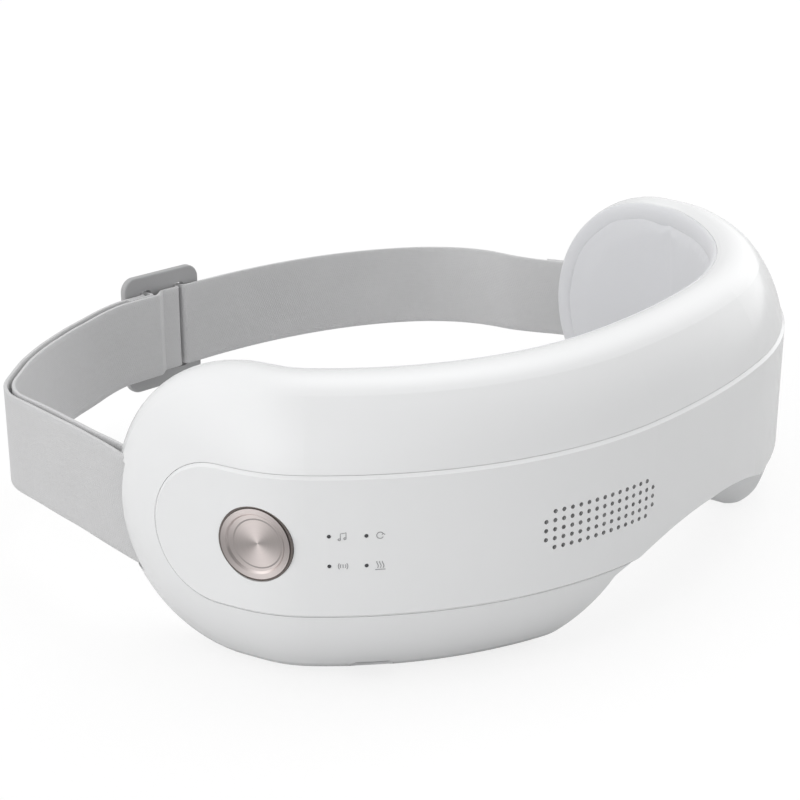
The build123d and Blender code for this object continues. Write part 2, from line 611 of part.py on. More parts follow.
with BuildPart() as speaker_cone:
    inset = 2 * (SPEAKER_RIM + SHAFT_GAP)
    with BuildSketch(SPEAKER.offset(GLUE_GAP - SPEAKER_FLANGE)):
        SlotOverall(SPEAKER_LENGTH - inset, SPEAKER_HEIGHT - inset)
    extrude(amount=CONE_WALL)
    with BuildSketch(SPEAKER.offset(GLUE_GAP - SPEAKER_FLANGE + CONE_WALL)):
        SlotOverall(SPEAKER_LENGTH - 2 * inset, SPEAKER_HEIGHT - 2 * inset)
    extrude(amount=-CONE_WALL / 2, mode=Mode.SUBTRACT)
speaker_cone.part.label = "speaker_cone"
export_step(speaker_cone.part, "parts/speaker_cone.step")

with BuildPart() as speaker_gasket:
    add(wrapped(layer_outline(PANEL_WALL + SHELL_WALL + GLUE_GAP, FRAME_SEAT)))
    with BuildSketch(SPEAKER.offset(GLUE_GAP)):
        SlotOverall(SPEAKER_LENGTH, SPEAKER_HEIGHT)
        SlotOverall(SPEAKER_LENGTH - 2 * SPEAKER_RIM, SPEAKER_HEIGHT - 2 * SPEAKER_RIM, mode=Mode.SUBTRACT)
    extrude(amount=SPEAKER_SEAT, mode=Mode.INTERSECT)
speaker_gasket.part.label = "speaker_gasket"
export_step(speaker_gasket.part, "parts/speaker_gasket.step")

with BuildPart() as speaker_mesh:
    add(wrapped(layer_outline(PANEL_WALL + GLUE_GAP, PANEL_WALL + GLUE_GAP + MESH_WALL, wall=0)))
    with BuildSketch(SPEAKER.offset(-SPEAKER_SEAT)):
        inset = 2 * GLUE_GAP
        RectangleRounded(WINDOW_LENGTH - inset, WINDOW_HEIGHT - inset, GRILLE_CORNER - GLUE_GAP)
    extrude(amount=3 * SPEAKER_SEAT, mode=Mode.INTERSECT)
speaker_mesh.part.label = "speaker_mesh"
export_step(speaker_mesh.part, "parts/speaker_mesh.step")

# ---------------------------------------------------------------- vibration motors
for name, motor in MOTORS.items():
    with BuildPart() as vibration_motor:
        with BuildSketch(motor.offset(-MOTOR_LENGTH / 2)):
            Circle(MOTOR_DIAMETER / 2)
        extrude(amount=MOTOR_LENGTH)
        with BuildSketch(motor.offset(MOTOR_LENGTH / 2 - SHAFT_SEAT - SHAFT_GAP)):
            Circle(SHAFT_DIAMETER / 2 + SHAFT_GAP)
        extrude(amount=MOTOR_LENGTH, mode=Mode.SUBTRACT)
    vibration_motor.part.label = f"vibration_motor_{name}"
    export_step(vibration_motor.part, f"parts/vibration_motor_{name}.step")

    with BuildPart() as motor_weight:
        with BuildSketch(motor.offset(MOTOR_LENGTH / 2 - SHAFT_SEAT)):
            Circle(SHAFT_DIAMETER / 2)
        extrude(amount=SHAFT_SEAT + WEIGHT_GAP + WEIGHT_LENGTH)
        with BuildSketch(motor.offset(MOTOR_LENGTH / 2 + WEIGHT_GAP)):
            Circle(WEIGHT_DIAMETER / 2)
            with Locations((0, WEIGHT_DIAMETER / 2)):
                Rectangle(WEIGHT_DIAMETER, WEIGHT_DIAMETER, mode=Mode.SUBTRACT)
            Circle(SHAFT_DIAMETER)
        extrude(amount=WEIGHT_LENGTH)
    motor_weight.part.label = f"motor_weight_{name}"
    export_step(motor_weight.part, f"parts/motor_weight_{name}.step")

# ---------------------------------------------------------------- strap anchor pins
for name, pin in PINS.items():
    with BuildPart() as strap_pin:
        with BuildSketch(pin.offset(-PIN_LENGTH / 2)):
            Circle(PIN_DIAMETER / 2)
        extrude(amount=PIN_LENGTH)
    strap_pin.part.label = f"strap_pin_{name}"
    export_step(strap_pin.part, f"parts/strap_pin_{name}.step")

# ---------------------------------------------------------------- head strap and its three-bar buckle
BUCKLE_BACK = OVERALL_DEPTH / 2 - BUCKLE_WALL
BUCKLE = Plane(origin=(0, BUCKLE_BACK), x_dir=Vector(1, 0).rotate(Axis.Z, BUCKLE_TILT), z_dir=(0, 0, 1))
BUCKLE_FACE = Plane(origin=BUCKLE.origin + Vector(0, 0, STRAP_MID), x_dir=BUCKLE.x_dir, z_dir=BUCKLE.y_dir)
BAR_HALF = SLOT_PLACE - SLOT_WIDTH / 2
SLOT_END = SLOT_PLACE + SLOT_WIDTH / 2
LAYER = STRAP_THICKNESS + SEAM_GAP
ON_BUCKLE = (BUCKLE_WALL + STRAP_THICKNESS) / 2 + FIT
OFF_BUCKLE = BUCKLE_LENGTH / 2 + BUCKLE_WALL
PIN_WRAP = (PIN_DIAMETER + STRAP_THICKNESS + FIT) / 2


def at_pin(name, across, along):
    """Point in plan at a strap pin: across into the mask, along towards the back."""
    point = PINS[name].from_local_coords(Vector(across, along))
    return Vector(point.X, point.Y)


def at_buckle(along, across):
    """Point in plan at the buckle: along to the right, across towards the back."""
    return BUCKLE.from_local_coords(Vector(along, across))


def outward(edge, share, gap):
    """Point beside a run of webbing, outside it by a gap, at a share of its length."""
    along = edge.tangent_at(share)
    return edge.position_at(share) + Vector(along.Y, -along.X) * gap


def strap_line():
    """Centre line of the webbing: right tail, head loop, buckle, left pin, buckle again."""
    crossing = SLOT_END - STRAP_THICKNESS / 2 - FIT
    turning = BAR_HALF + STRAP_THICKNESS / 2 + FIT
    behind = ON_BUCKLE + LAYER
    inside = ON_BUCKLE + 2 * LAYER
    right_way = PINS["right"].y_dir
    left_way = PINS["left"].y_dir
    right_bend = at_pin("right", 0, 0) + Vector(-RIGHT_BEND_IN, RIGHT_BEND_BACK)
    right_lean = Vector(0, 1).rotate(Axis.Z, RIGHT_LEAN)
    right_radius = RIGHT_CORNER_SHARE * (BUCKLE_BACK - right_bend.Y)
    left_bend = at_pin("left", 0, 0) + Vector(LEFT_BEND_IN, LEFT_BEND_BACK)
    left_lean = Vector(0, 1).rotate(Axis.Z, -LEFT_LEAN)
    left_radius = LEFT_CORNER_SHARE * (BUCKLE_BACK - left_bend.Y)
    inner_bend = left_bend - Vector(-left_lean.Y, left_lean.X) * (STRAP_THICKNESS + LOOP_GAP)
    with BuildLine() as run:
        lead = Spline(
            at_pin("right", PIN_WRAP, 0), at_pin("right", PIN_WRAP / 4, PIN_EXIT), right_bend,
            tangents=(right_way, right_lean),
        )
        tail = [outward(lead, share, LAYER) for share in (0.62, 0.52, 0.42)]
        Spline(*tail, at_pin("right", -PIN_WRAP, 0), tangents=(-(lead % 0.62), -right_way))
        ThreePointArc(
            at_pin("right", -PIN_WRAP, 0), at_pin("right", 0, -PIN_WRAP), at_pin("right", PIN_WRAP, 0)
        )
        corner = JernArc(right_bend, right_lean, right_radius, RIGHT_CORNER_ANGLE)
        Spline(corner @ 1, at_buckle(OFF_BUCKLE, -ON_BUCKLE), tangents=(corner % 1, -BUCKLE.x_dir))
        FilletPolyline(
            at_buckle(OFF_BUCKLE, -ON_BUCKLE),
            at_buckle(crossing + FIT, -ON_BUCKLE),
            at_buckle(crossing - FIT, behind),
            at_buckle(FIT - crossing, behind),
            at_buckle(-crossing - FIT, -ON_BUCKLE),
            at_buckle(-OFF_BUCKLE, -ON_BUCKLE),
            radius=WEAVE_RADIUS,
        )
        left_corner = JernArc(left_bend, left_lean, left_radius, -LEFT_CORNER_ANGLE)
        Spline(
            at_buckle(-OFF_BUCKLE, -ON_BUCKLE), left_corner @ 1,
            tangents=(-BUCKLE.x_dir, -(left_corner % 1)),
        )
        left_lead = Spline(
            left_bend, at_pin("left", -PIN_WRAP / 4, PIN_EXIT), at_pin("left", -PIN_WRAP, 0),
            tangents=(-left_lean, -left_way),
        )
        ThreePointArc(
            at_pin("left", -PIN_WRAP, 0), at_pin("left", 0, -PIN_WRAP), at_pin("left", PIN_WRAP, 0)
        )
        inner_lead = [outward(left_lead, share, -LAYER - LOOP_GAP) for share in (0.66, 0.33)]
        Spline(at_pin("left", PIN_WRAP, 0), *inner_lead, inner_bend, tangents=(left_way, left_lean))
        inner_corner = JernArc(
            inner_bend, left_lean, left_radius - STRAP_THICKNESS - LOOP_GAP, -LEFT_CORNER_ANGLE
        )
        Spline(inner_corner @ 1, at_buckle(-OFF_BUCKLE, -inside), tangents=(inner_corner % 1, BUCKLE.x_dir))
        FilletPolyline(
            at_buckle(-OFF_BUCKLE, -inside),
            at_buckle(-BAR_HALF, -inside),
            at_buckle(-BAR_HALF / 4, -ON_BUCKLE),
            at_buckle(turning, -ON_BUCKLE),
            at_buckle(turning, ON_BUCKLE),
            at_buckle(-turning, ON_BUCKLE),
            at_buckle(-turning, -ON_BUCKLE - LAYER),
            at_buckle(-BUCKLE_LENGTH / 2, -ON_BUCKLE - LAYER),
            radius=WEAVE_RADIUS,
        )
    seams = (
        (outward(lead, 0.59, LAYER / 2), lead % 0.59),
        (at_buckle(-SLOT_END - SEAM, -ON_BUCKLE - 1.5 * LAYER), BUCKLE.x_dir),
    )
    return run.edges(), seams


with BuildPart() as head_strap:
    webbing, seams = strap_line()
    with BuildSketch():
        trace(webbing, line_width=STRAP_THICKNESS)
        for place, way in seams:
            with Locations(Plane(origin=place, x_dir=way, z_dir=(0, 0, 1))):
                Rectangle(SEAM, LAYER)
    extrude(amount=STRAP_WIDTH)
head_strap.part = Pos(0, 0, STRAP_TOP - STRAP_WIDTH) * head_strap.part
head_strap.part.label = "head_strap"
export_step(head_strap.part, "parts/head_strap.step")

with BuildPart() as strap_buckle:
    with BuildSketch(BUCKLE_FACE):
        RectangleRounded(BUCKLE_LENGTH, BUCKLE_HEIGHT, BUCKLE_ROUND)
        with Locations((-SLOT_PLACE, 0), (SLOT_PLACE, 0)):
            RectangleRounded(SLOT_WIDTH, STRAP_WIDTH + 4 * FIT, SLOT_WIDTH / 4, mode=Mode.SUBTRACT)
    extrude(amount=BUCKLE_WALL / 2, both=True)
    plates = strap_buckle.faces().sort_by(SortBy.AREA)[-2:]
    fillet([edge for plate in plates for edge in plate.outer_wire().edges()], BUCKLE_WALL / 4)
strap_buckle.part.label = "strap_buckle"
export_step(strap_buckle.part, "parts/strap_buckle.step")
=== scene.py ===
"""Eye massager mask: looks of a wraparound massage visor with soft face side and head strap."""

import json
import logging
import math
from dataclasses import dataclass
from enum import Enum
from typing import Callable, Dict, List, Mapping, Optional, Sequence, Tuple, Union

import bmesh
import bpy
import numpy as np
from mathutils import Matrix, Vector

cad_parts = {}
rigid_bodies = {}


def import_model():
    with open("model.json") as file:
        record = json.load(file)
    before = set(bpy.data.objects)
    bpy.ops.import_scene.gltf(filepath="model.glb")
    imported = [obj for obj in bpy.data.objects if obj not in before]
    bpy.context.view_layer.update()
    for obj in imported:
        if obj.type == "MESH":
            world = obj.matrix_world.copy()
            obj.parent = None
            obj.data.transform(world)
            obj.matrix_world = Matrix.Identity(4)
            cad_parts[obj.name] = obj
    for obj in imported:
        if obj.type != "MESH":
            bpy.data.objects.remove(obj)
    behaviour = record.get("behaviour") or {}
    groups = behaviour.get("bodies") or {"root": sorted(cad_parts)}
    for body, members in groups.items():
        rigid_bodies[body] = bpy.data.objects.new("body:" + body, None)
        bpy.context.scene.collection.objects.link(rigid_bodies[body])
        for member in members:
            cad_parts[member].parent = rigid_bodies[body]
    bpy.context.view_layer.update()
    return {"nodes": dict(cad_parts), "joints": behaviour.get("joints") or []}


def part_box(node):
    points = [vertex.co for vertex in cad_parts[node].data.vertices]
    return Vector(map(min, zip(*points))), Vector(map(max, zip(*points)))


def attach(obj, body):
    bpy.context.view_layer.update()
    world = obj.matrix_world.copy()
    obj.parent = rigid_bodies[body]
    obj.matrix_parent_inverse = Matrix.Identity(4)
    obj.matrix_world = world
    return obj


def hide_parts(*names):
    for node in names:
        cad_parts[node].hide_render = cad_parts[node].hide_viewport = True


for leftover in list(bpy.data.objects):
    bpy.data.objects.remove(leftover, do_unlink=True)
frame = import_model()
BOXES = {name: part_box(name) for name in frame["nodes"]}
CENTRES = {name: (Vector(low) + Vector(high)) / 2 for name, (low, high) in BOXES.items()}

LOG = logging.getLogger("eye_mask")
MM = 0.001
MERGE = 0.002 * MM  # points closer than this are one
CLOUD_GRAIN = 45.0  # clouds of shade and gloss per metre
BODY = "visor"
UP = Vector((0, 0, 1))

Colour = Tuple[float, float, float]
Pair = Tuple[float, float]
Piece = bpy.types.Object
Material = bpy.types.Material
Value = Union["Sock", float, int]
Key = Union[int, str]


# ---------------------------------------------------------------- node graphs
def operator(operation: str, reflected: bool = False) -> Callable[["Sock", Value], "Sock"]:
    """Make an arithmetic method of a socket.

    Args:
        operation: The Math node's operation.
        reflected: Whether the other value comes first.

    Returns:
        A method that adds one Math node and returns its result.
    """
    def method(self: "Sock", other: Value = 0.0) -> "Sock":
        """Apply the operation to the socket and another value."""
        first, second = (other, self) if reflected else (self, other)
        return self.graph.node("ShaderNodeMath", {"operation": operation}, {0: first, 1: second}).out(0)

    return method


@dataclass(frozen=True)
class Sock:
    """A node's output that takes part in Python arithmetic."""

    graph: "Graph"
    link: bpy.types.NodeSocket

    __add__, __radd__ = operator("ADD"), operator("ADD", True)
    __sub__, __rsub__ = operator("SUBTRACT"), operator("SUBTRACT", True)
    __mul__, __rmul__ = operator("MULTIPLY"), operator("MULTIPLY", True)
    __pow__, __lt__ = operator("POWER"), operator("LESS_THAN")
    above, sine, size = operator("MAXIMUM"), operator("SINE"), operator("ABSOLUTE")


@dataclass(frozen=True)
class NodeBox:
    """A made node whose outputs are read by name or number."""

    graph: "Graph"
    node: bpy.types.Node

    def out(self, key: Key) -> Sock:
        """Return an output as a socket for arithmetic."""
        return Sock(self.graph, self.node.outputs[key])


@dataclass
class Graph:
    """Builds nodes in a shader or geometry tree."""

    tree: bpy.types.NodeTree

    def node(
        self, kind: str, settings: Optional[Mapping[str, object]] = None,
        sockets: Optional[Mapping[Key, object]] = None,
    ) -> NodeBox:
        """Make a node.

        Args:
            kind: The node's type name.
            settings: Properties that are set first.
            sockets: Values or links for its inputs, by name or number.

        Returns:
            The made node.
        """
        made = self.tree.nodes.new(kind)
        for name, value in (settings or {}).items():
            setattr(made, name, value)
        for key, value in (sockets or {}).items():
            if isinstance(value, Sock):
                self.tree.links.new(value.link, made.inputs[key])
            else:
                made.inputs[key].default_value = value
        return NodeBox(self, made)

    def feed(self, value: Sock, node: bpy.types.Node, name: str) -> None:
        """Link a value to a node's input."""
        self.tree.links.new(value.link, node.inputs[name])

    def mix(self, factor: Value, first: object, second: object) -> Sock:
        """Blend two colours by a factor."""
        box = self.node("ShaderNodeMix", {"data_type": "RGBA"}, {0: factor, 6: first, 7: second})
        return box.out(2)

    def noise(self, where: Sock, scale: float, detail: float = 2.0, rough: float = 0.5) -> Sock:
        """Noise value at a place."""
        values = {"Vector": where, "Scale": scale, "Detail": detail, "Roughness": rough}
        return self.node("ShaderNodeTexNoise", {}, values).out(0)

    def bump(self, height: Sock, distance: float, strength: float = 1.0) -> Sock:
        """Normal bent by a height in metres."""
        values = {"Height": height, "Distance": distance, "Strength": strength}
        return self.node("ShaderNodeBump", {}, values).out(0)

    def place(self, centre: Vector = Vector((0, 0, 0))) -> Sock:
        """Object coordinates counted from a centre."""
        where = self.node("ShaderNodeTexCoord").out("Object")
        shift = {"Vector": where, "Location": tuple(-c for c in centre)}
        return self.node("ShaderNodeMapping", {"vector_type": "POINT"}, shift).out(0)

    def dot(self, where: Sock, way: Vector) -> Sock:
        """Distance of a place along a direction."""
        ends = {0: where, 1: tuple(way)}
        return self.node("ShaderNodeVectorMath", {"operation": "DOT_PRODUCT"}, ends).out(1)

    def circle(self, corners: int, radius: Value) -> Sock:
        """Round curve of a few corners."""
        sizes = {"Resolution": corners, "Radius": radius}
        return self.node("GeometryNodeCurvePrimitiveCircle", {}, sizes).out(0)

    def curve(self, path: Sock) -> Sock:
        """Curve along a path's edges."""
        return self.node("GeometryNodeMeshToCurve", {}, {0: path}).out(0)

    def spaced(self, path: Sock, pitch: Sock) -> Sock:
        """Curve along a path's edges with evenly spaced points."""
        sizes = {"Curve": self.curve(path), "Length": pitch}
        return self.node("GeometryNodeResampleCurve", {"mode": "LENGTH"}, sizes).out(0)

    def sweep(self, curve: Sock, profile: Sock, caps: bool = False) -> Sock:
        """Mesh of a profile carried along a curve."""
        sizes = {"Curve": curve, "Profile Curve": profile, "Fill Caps": caps}
        return self.node("GeometryNodeCurveToMesh", {}, sizes).out(0)

    def copies(self, points: Sock, piece: Sock, turn: Sock, **more: Sock) -> Sock:
        """Copies of a piece on points, all turned."""
        sizes = {"Points": points, "Instance": piece, "Rotation": turn, **more}
        return self.node("GeometryNodeInstanceOnPoints", {}, sizes).out(0)


# ---------------------------------------------------------------- finishes
@dataclass(frozen=True)
class Finish:
    """A surface finish with a fine drift of shade and gloss and a fine grain."""

    name: str
    colour: Colour
    roughness: float = 0.4
    metallic: float = 0.0
    coat: float = 0.0
    sheen: float = 0.0
    specular: float = 0.5
    grain: float = 2500.0
    relief: float = 0.0
    shade: float = 0.03
    drift: float = 0.04

    def dark(self, share: float) -> Tuple[float, float, float, float]:
        """The finish's colour, darkened by a share."""
        return (*(c * (1 - share) for c in self.colour), 1.0)

    def dress(self, graph: Graph, surface: bpy.types.Node) -> None:
        """Add the drift of shade and gloss and the grain.

        Args:
            graph: The material's graph.
            surface: Its Principled node.
        """
        where = graph.place()
        cloud = graph.noise(where, CLOUD_GRAIN, 3.0)
        colour = graph.mix(cloud, self.dark(2 * self.shade), self.dark(0))
        graph.feed(colour, surface, "Base Color")
        rough = cloud * self.drift + (self.roughness - self.drift / 2)
        graph.feed(rough, surface, "Roughness")
        if self.relief:
            fine = graph.noise(where, self.grain, 1.0)
            graph.feed(graph.bump(fine, self.relief), surface, "Normal")

    def make(self) -> Material:
        """Build the material.

        Returns:
            A new material with its nodes.
        """
        material = bpy.data.materials.new(self.name)
        material.use_nodes = True
        surface = material.node_tree.nodes["Principled BSDF"]
        for socket, value in (
            ("Base Color", (*self.colour, 1.0)), ("Roughness", self.roughness),
            ("Metallic", self.metallic), ("Coat Weight", self.coat), ("Coat Roughness", 0.08),
            ("Sheen Weight", self.sheen), ("Sheen Roughness", 0.5),
            ("Specular IOR Level", self.specular),
        ):
            surface.inputs[socket].default_value = value
        self.dress(Graph(material.node_tree), surface)
        material.diffuse_color = (*self.colour, 1.0)
        return material


@dataclass(frozen=True)
class SpunMetal(Finish):
    """Metal turned on a lathe, with fine rings, a painted highlight fan and one engraved ring round an
    axis.
    """

    centre: Vector = Vector((0, 0, 0))
    axis: Vector = UP
    ring_pitch: float = 0.25 * MM
    groove_radius: float = 5.6 * MM
    groove_width: float = 0.16 * MM
    painted_glint_turn: float = math.radians(-120)
    painted_glint_depth: float = 0.62
    groove_painted_shade: float = 0.55
    ring_share: float = 0.2
    ring_depth: float = 0.05 * MM
    rough_spread: float = 0.16

    def dress(self, graph: Graph, surface: bpy.types.Node) -> None:
        """Add turned rings, a painted highlight fan round the axis and the engraved ring, darkened with
        painted shade.

        Args:
            graph: The tree that takes the nodes.
            surface: Its Principled node.
        """
        where = graph.place(self.centre)
        side = UP.cross(self.axis).normalized()
        across = graph.dot(where, side)
        rise = graph.dot(where, self.axis.cross(side))
        radius = (across * across + rise * rise) ** 0.5
        rings = graph.node("ShaderNodeCombineXYZ", {}, {"X": radius}).out(0)
        fine = graph.noise(rings, 1.0 / self.ring_pitch, 3.0, 0.7)
        angle = graph.node("ShaderNodeMath", {"operation": "ARCTAN2"}, {0: rise, 1: across}).out(0)
        # Painted highlight: a bright and dark fan round the axis, standing for the spun metal's
        # reflection.
        painted_glint = (angle * 2.0 + self.painted_glint_turn).sine() * 0.5 + 0.5
        groove = ((radius - self.groove_radius).size()) < self.groove_width
        share = painted_glint * (1 - self.ring_share) + fine * self.ring_share
        tone = graph.mix(share, self.dark(self.painted_glint_depth), self.dark(0))
        # Painted shade: the engraved groove is darkened in the colour, besides its bump.
        groove_shaded_colour = graph.mix(groove, tone, self.dark(self.groove_painted_shade))
        graph.feed(groove_shaded_colour, surface, "Base Color")
        rough = fine * self.rough_spread + (self.roughness - 0.06)
        graph.feed(rough, surface, "Roughness")
        height = fine * 0.3 - groove
        graph.feed(graph.bump(height, self.ring_depth, 0.7), surface, "Normal")


@dataclass(frozen=True)
class Webbing(Finish):
    """Elastic webbing knitted in fine cords, on the piece's own UV map in metres."""

    cords: float = 1.0 * MM
    picks: float = 0.62 * MM
    slant: float = 2.2
    cord_share: float = 0.45
    fuzz_grain: float = 700.0
    cloud_grain: float = 60.0
    weave_shade: float = 0.2
    tone_shares: Tuple[float, float, float] = (0.35, 0.35, 0.3)
    weave_depth: float = 0.08 * MM

    def dress(self, graph: Graph, surface: bpy.types.Node) -> None:
        """Add the slanted picks between the cords, and a light fuzz.

        Args:
            graph: The tree that takes the nodes.
            surface: Its Principled node.
        """
        uv = graph.node("ShaderNodeUVMap", {"uv_map": "run"}).out(0)
        parts = graph.node("ShaderNodeSeparateXYZ", {}, {0: uv})
        along, across = parts.out(0), parts.out(1)
        zigzag = (across * (math.pi / self.cords)).sine()
        pick = (along * (2 * math.pi / self.picks) + zigzag * self.slant).sine() * 0.5 + 0.5
        cord = (across * (2 * math.pi / self.cords)).sine().size()
        weave = pick * (1 - self.cord_share) + cord * self.cord_share
        fuzz = graph.noise(graph.place(), self.fuzz_grain, 3.0, 0.7)
        cloud = graph.noise(graph.place(), self.cloud_grain, 2.0)
        weave_share, fuzz_share, cloud_share = self.tone_shares
        tone = weave * weave_share + fuzz * fuzz_share + cloud * cloud_share
        colour = graph.mix(tone, self.dark(self.weave_shade), self.dark(0))
        graph.feed(colour, surface, "Base Color")
        height = weave + fuzz * 0.5
        graph.feed(graph.bump(height, self.weave_depth, 0.8), surface, "Normal")


class Icon(Enum):
    """Generic pictograms beside the four status lights."""

    MUSIC = "notes"
    AIR = "air pressure"
    BUZZ = "vibration"
    HEAT = "heat"


# ---------------------------------------------------------------- meshes
def left_of(way: Vector) -> Vector:
    """Direction in plan a quarter turn to the left."""
    return Vector((-way.y, way.x, 0))


def turned_by(angle: float) -> Matrix:
    """Turn in plan."""
    return Matrix.Rotation(angle, 3, "Z")


def put(name: str, mesh: bpy.types.Mesh) -> Piece:
    """Put a mesh into the scene under a name."""
    piece = bpy.data.objects.new(name, mesh)
    bpy.context.scene.collection.objects.link(piece)
    return piece


def add_mesh(
    name: str, points: Sequence[Sequence[float]], faces: Sequence[Sequence[int]],
    material: Material, edges: Sequence[Sequence[int]] = (),
) -> Piece:
    """Make a smooth mesh object.

    Args:
        name: The piece's name.
        points: Its vertices in metres.
        faces: Vertex numbers of each face.
        material: Its finish.
        edges: Loose edges, for a path.

    Returns:
        The linked object.
    """
    mesh = bpy.data.meshes.new(name)
    mesh.from_pydata([tuple(p) for p in points], [tuple(e) for e in edges], [tuple(f) for f in faces])
    mesh.polygons.foreach_set("use_smooth", [True] * len(mesh.polygons))
    mesh.materials.append(material)
    return put(name, mesh)


def oval(centre: Pair, wide: float, tall: float, angles: Pair, count: int) -> List[Pair]:
    """Points of an oval arc from the first to the last angle in radians."""
    turns = np.linspace(*angles, count)
    return [(centre[0] + wide * math.cos(a), centre[1] + tall * math.sin(a)) for a in turns]


def tube_faces(rings: int, sides: int, closed: bool = False) -> List[List[int]]:
    """Faces of a tube whose rings are stored one after another.

    Args:
        rings: Number of rings.
        sides: Points in each ring.
        closed: Whether the last ring joins the first; otherwise both ends get a cap.

    Returns:
        Vertex numbers of each face.
    """
    faces = []
    for i in range(rings if closed else rings - 1):
        after = (i + 1) % rings
        for j in range(sides):
            side = (j + 1) % sides
            faces.append([i * sides + j, i * sides + side, after * sides + side, after * sides + j])
    if not closed:
        faces.append(list(range(sides))[::-1])
        faces.append([(rings - 1) * sides + j for j in range(sides)])
    return faces


def turn_outward(piece: Piece) -> None:
    """Merge doubles and turn every face of a closed piece outwards.

    Args:
        piece: The piece, changed in place.
    """
    work = bmesh.new()
    work.from_mesh(piece.data)
    bmesh.ops.remove_doubles(work, verts=work.verts, dist=MERGE)
    bmesh.ops.recalc_face_normals(work, faces=work.faces)
    work.to_mesh(piece.data)
    work.free()


def merged_copy(node: str, name: str, material: Material) -> Piece:
    """Copy a CAD node's mesh as a merged mesh of its own.

    Args:
        node: The CAD node.
        name: Name of the new piece.
        material: Its finish.

    Returns:
        The new object.
    """
    work = bmesh.new()
    work.from_mesh(bpy.data.objects[node].data)
    bmesh.ops.remove_doubles(work, verts=work.verts, dist=MERGE)
    mesh = bpy.data.meshes.new(name)
    work.to_mesh(mesh)
    work.free()
    mesh.materials.clear()
    mesh.materials.append(material)
    return put(name, mesh)


def hand_over(piece: Piece, slot: str, *replaced: str) -> None:
    """Put a finished piece on the visor's body and hide the nodes that it stands for.

    Args:
        piece: The finished piece.
        slot: Not used.
        replaced: CAD nodes that it stands for.
    """
    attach(piece, BODY)
    if replaced:
        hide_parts(*replaced)
    LOG.info("%s: %d faces", piece.name, len(piece.data.polygons))


# ---------------------------------------------------------------- repeated detail
@dataclass
class PathTree:
    """A Geometry Nodes tree that works on a path or on points with an "up" direction."""

    name: str
    sizes: Mapping[str, float]
    grow: Callable[["PathTree", Graph, Sock, Dict[str, Sock]], Sock]

    def build(self) -> bpy.types.NodeTree:
        """Make the tree with its named inputs.

        Returns:
            The finished tree.
        """
        tree = bpy.data.node_groups.new(self.name, "GeometryNodeTree")
        tree.interface.new_socket("Geometry", in_out="INPUT", socket_type="NodeSocketGeometry")
        for name, value in self.sizes.items():
            socket = tree.interface.new_socket(name, in_out="INPUT", socket_type="NodeSocketFloat")
            socket.default_value = value
        tree.interface.new_socket("Material", in_out="INPUT", socket_type="NodeSocketMaterial")
        tree.interface.new_socket("Geometry", in_out="OUTPUT", socket_type="NodeSocketGeometry")
        graph = Graph(tree)
        given = graph.node("NodeGroupInput")
        inputs = {name: given.out(name) for name in self.sizes}
        grown = self.grow(self, graph, given.out("Geometry"), inputs)
        real = graph.node("GeometryNodeRealizeInstances", {}, {0: grown}).out(0)
        smooth = graph.node("GeometryNodeSetShadeSmooth", {}, {0: real}).out(0)
        finish = given.out("Material")
        dressed = graph.node("GeometryNodeSetMaterial", {}, {0: smooth, "Material": finish})
        graph.node("NodeGroupOutput", {}, {0: dressed.out(0)})
        return tree

    @staticmethod
    def turned(graph: Graph, along: bool) -> Sock:
        """Rotation with Z along the stored "up".

        Args:
            graph: The tree's graph.
            along: Whether there is a path, which X then follows.

        Returns:
            The rotation.
        """
        up = graph.node("GeometryNodeInputNamedAttribute", {"data_type": "FLOAT_VECTOR"}, {"Name": "up"})
        kind = "FunctionNodeAlignRotationToVector"
        turn = graph.node(kind, {"axis": "Z"}, {"Vector": up.out(0)}).out(0)
        if not along:
            return turn
        ways = {"Rotation": turn, "Vector": graph.node("GeometryNodeInputTangent").out(0)}
        return graph.node(kind, {"axis": "X", "pivot_axis": "Z"}, ways).out(0)

    def apply(self, path: Piece, material: Material, **sizes: float) -> Piece:
        """Run the tree on a path and keep the result as a plain mesh.

        Args:
            path: The path or points; it is removed afterwards.
            material: Finish of the result.
            sizes: Inputs that differ from the tree's own values.

        Returns:
            The resulting piece, under the path's name.
        """
        tree = self.build()
        modifier = path.modifiers.new(self.name, "NODES")
        modifier.node_group = tree
        inputs = (item for item in tree.interface.items_tree if item.in_out == "INPUT")
        names = {item.name: item.identifier for item in inputs}
        for name, value in sizes.items():
            modifier[names[name]] = value
        modifier[names["Material"]] = material
        bpy.context.view_layer.update()
        mesh = bpy.data.meshes.new_from_object(path.evaluated_get(bpy.context.evaluated_depsgraph_get()))
        name = path.name
        bpy.data.objects.remove(path, do_unlink=True)
        mesh.name = name
        piece = put(name, mesh)
        turn_outward(piece)
        return piece


def strand(_: PathTree, graph: Graph, path: Sock, size: Dict[str, Sock]) -> Sock:
    """Lay a round strand along the path's edges.

    Args:
        _: The tree, not needed here.
        graph: Its nodes.
        path: Incoming path.
        size: Its named inputs.

    Returns:
        The grown geometry.
    """
    return graph.sweep(graph.curve(path), graph.circle(8, size["Radius"]), caps=True)


def stitch_row(tree: PathTree, graph: Graph, path: Sock, size: Dict[str, Sock]) -> Sock:
    """Set one rounded stitch after another along the path.

    Args:
        tree: The tree, which turns the copies.
        graph: Its nodes.
        path: Incoming path.
        size: Its named inputs.

    Returns:
        The grown geometry.
    """
    bead = graph.node("GeometryNodeMeshUVSphere", {}, {"Segments": 8, "Rings": 5, "Radius": 1.0}).out(0)
    halves = [size[name] * 0.5 for name in ("Length", "Width", "Width")]
    scale = graph.node("ShaderNodeCombineXYZ", {}, dict(enumerate(halves))).out(0)
    return graph.copies(graph.spaced(path, size["Pitch"]), bead, tree.turned(graph, True), Scale=scale)


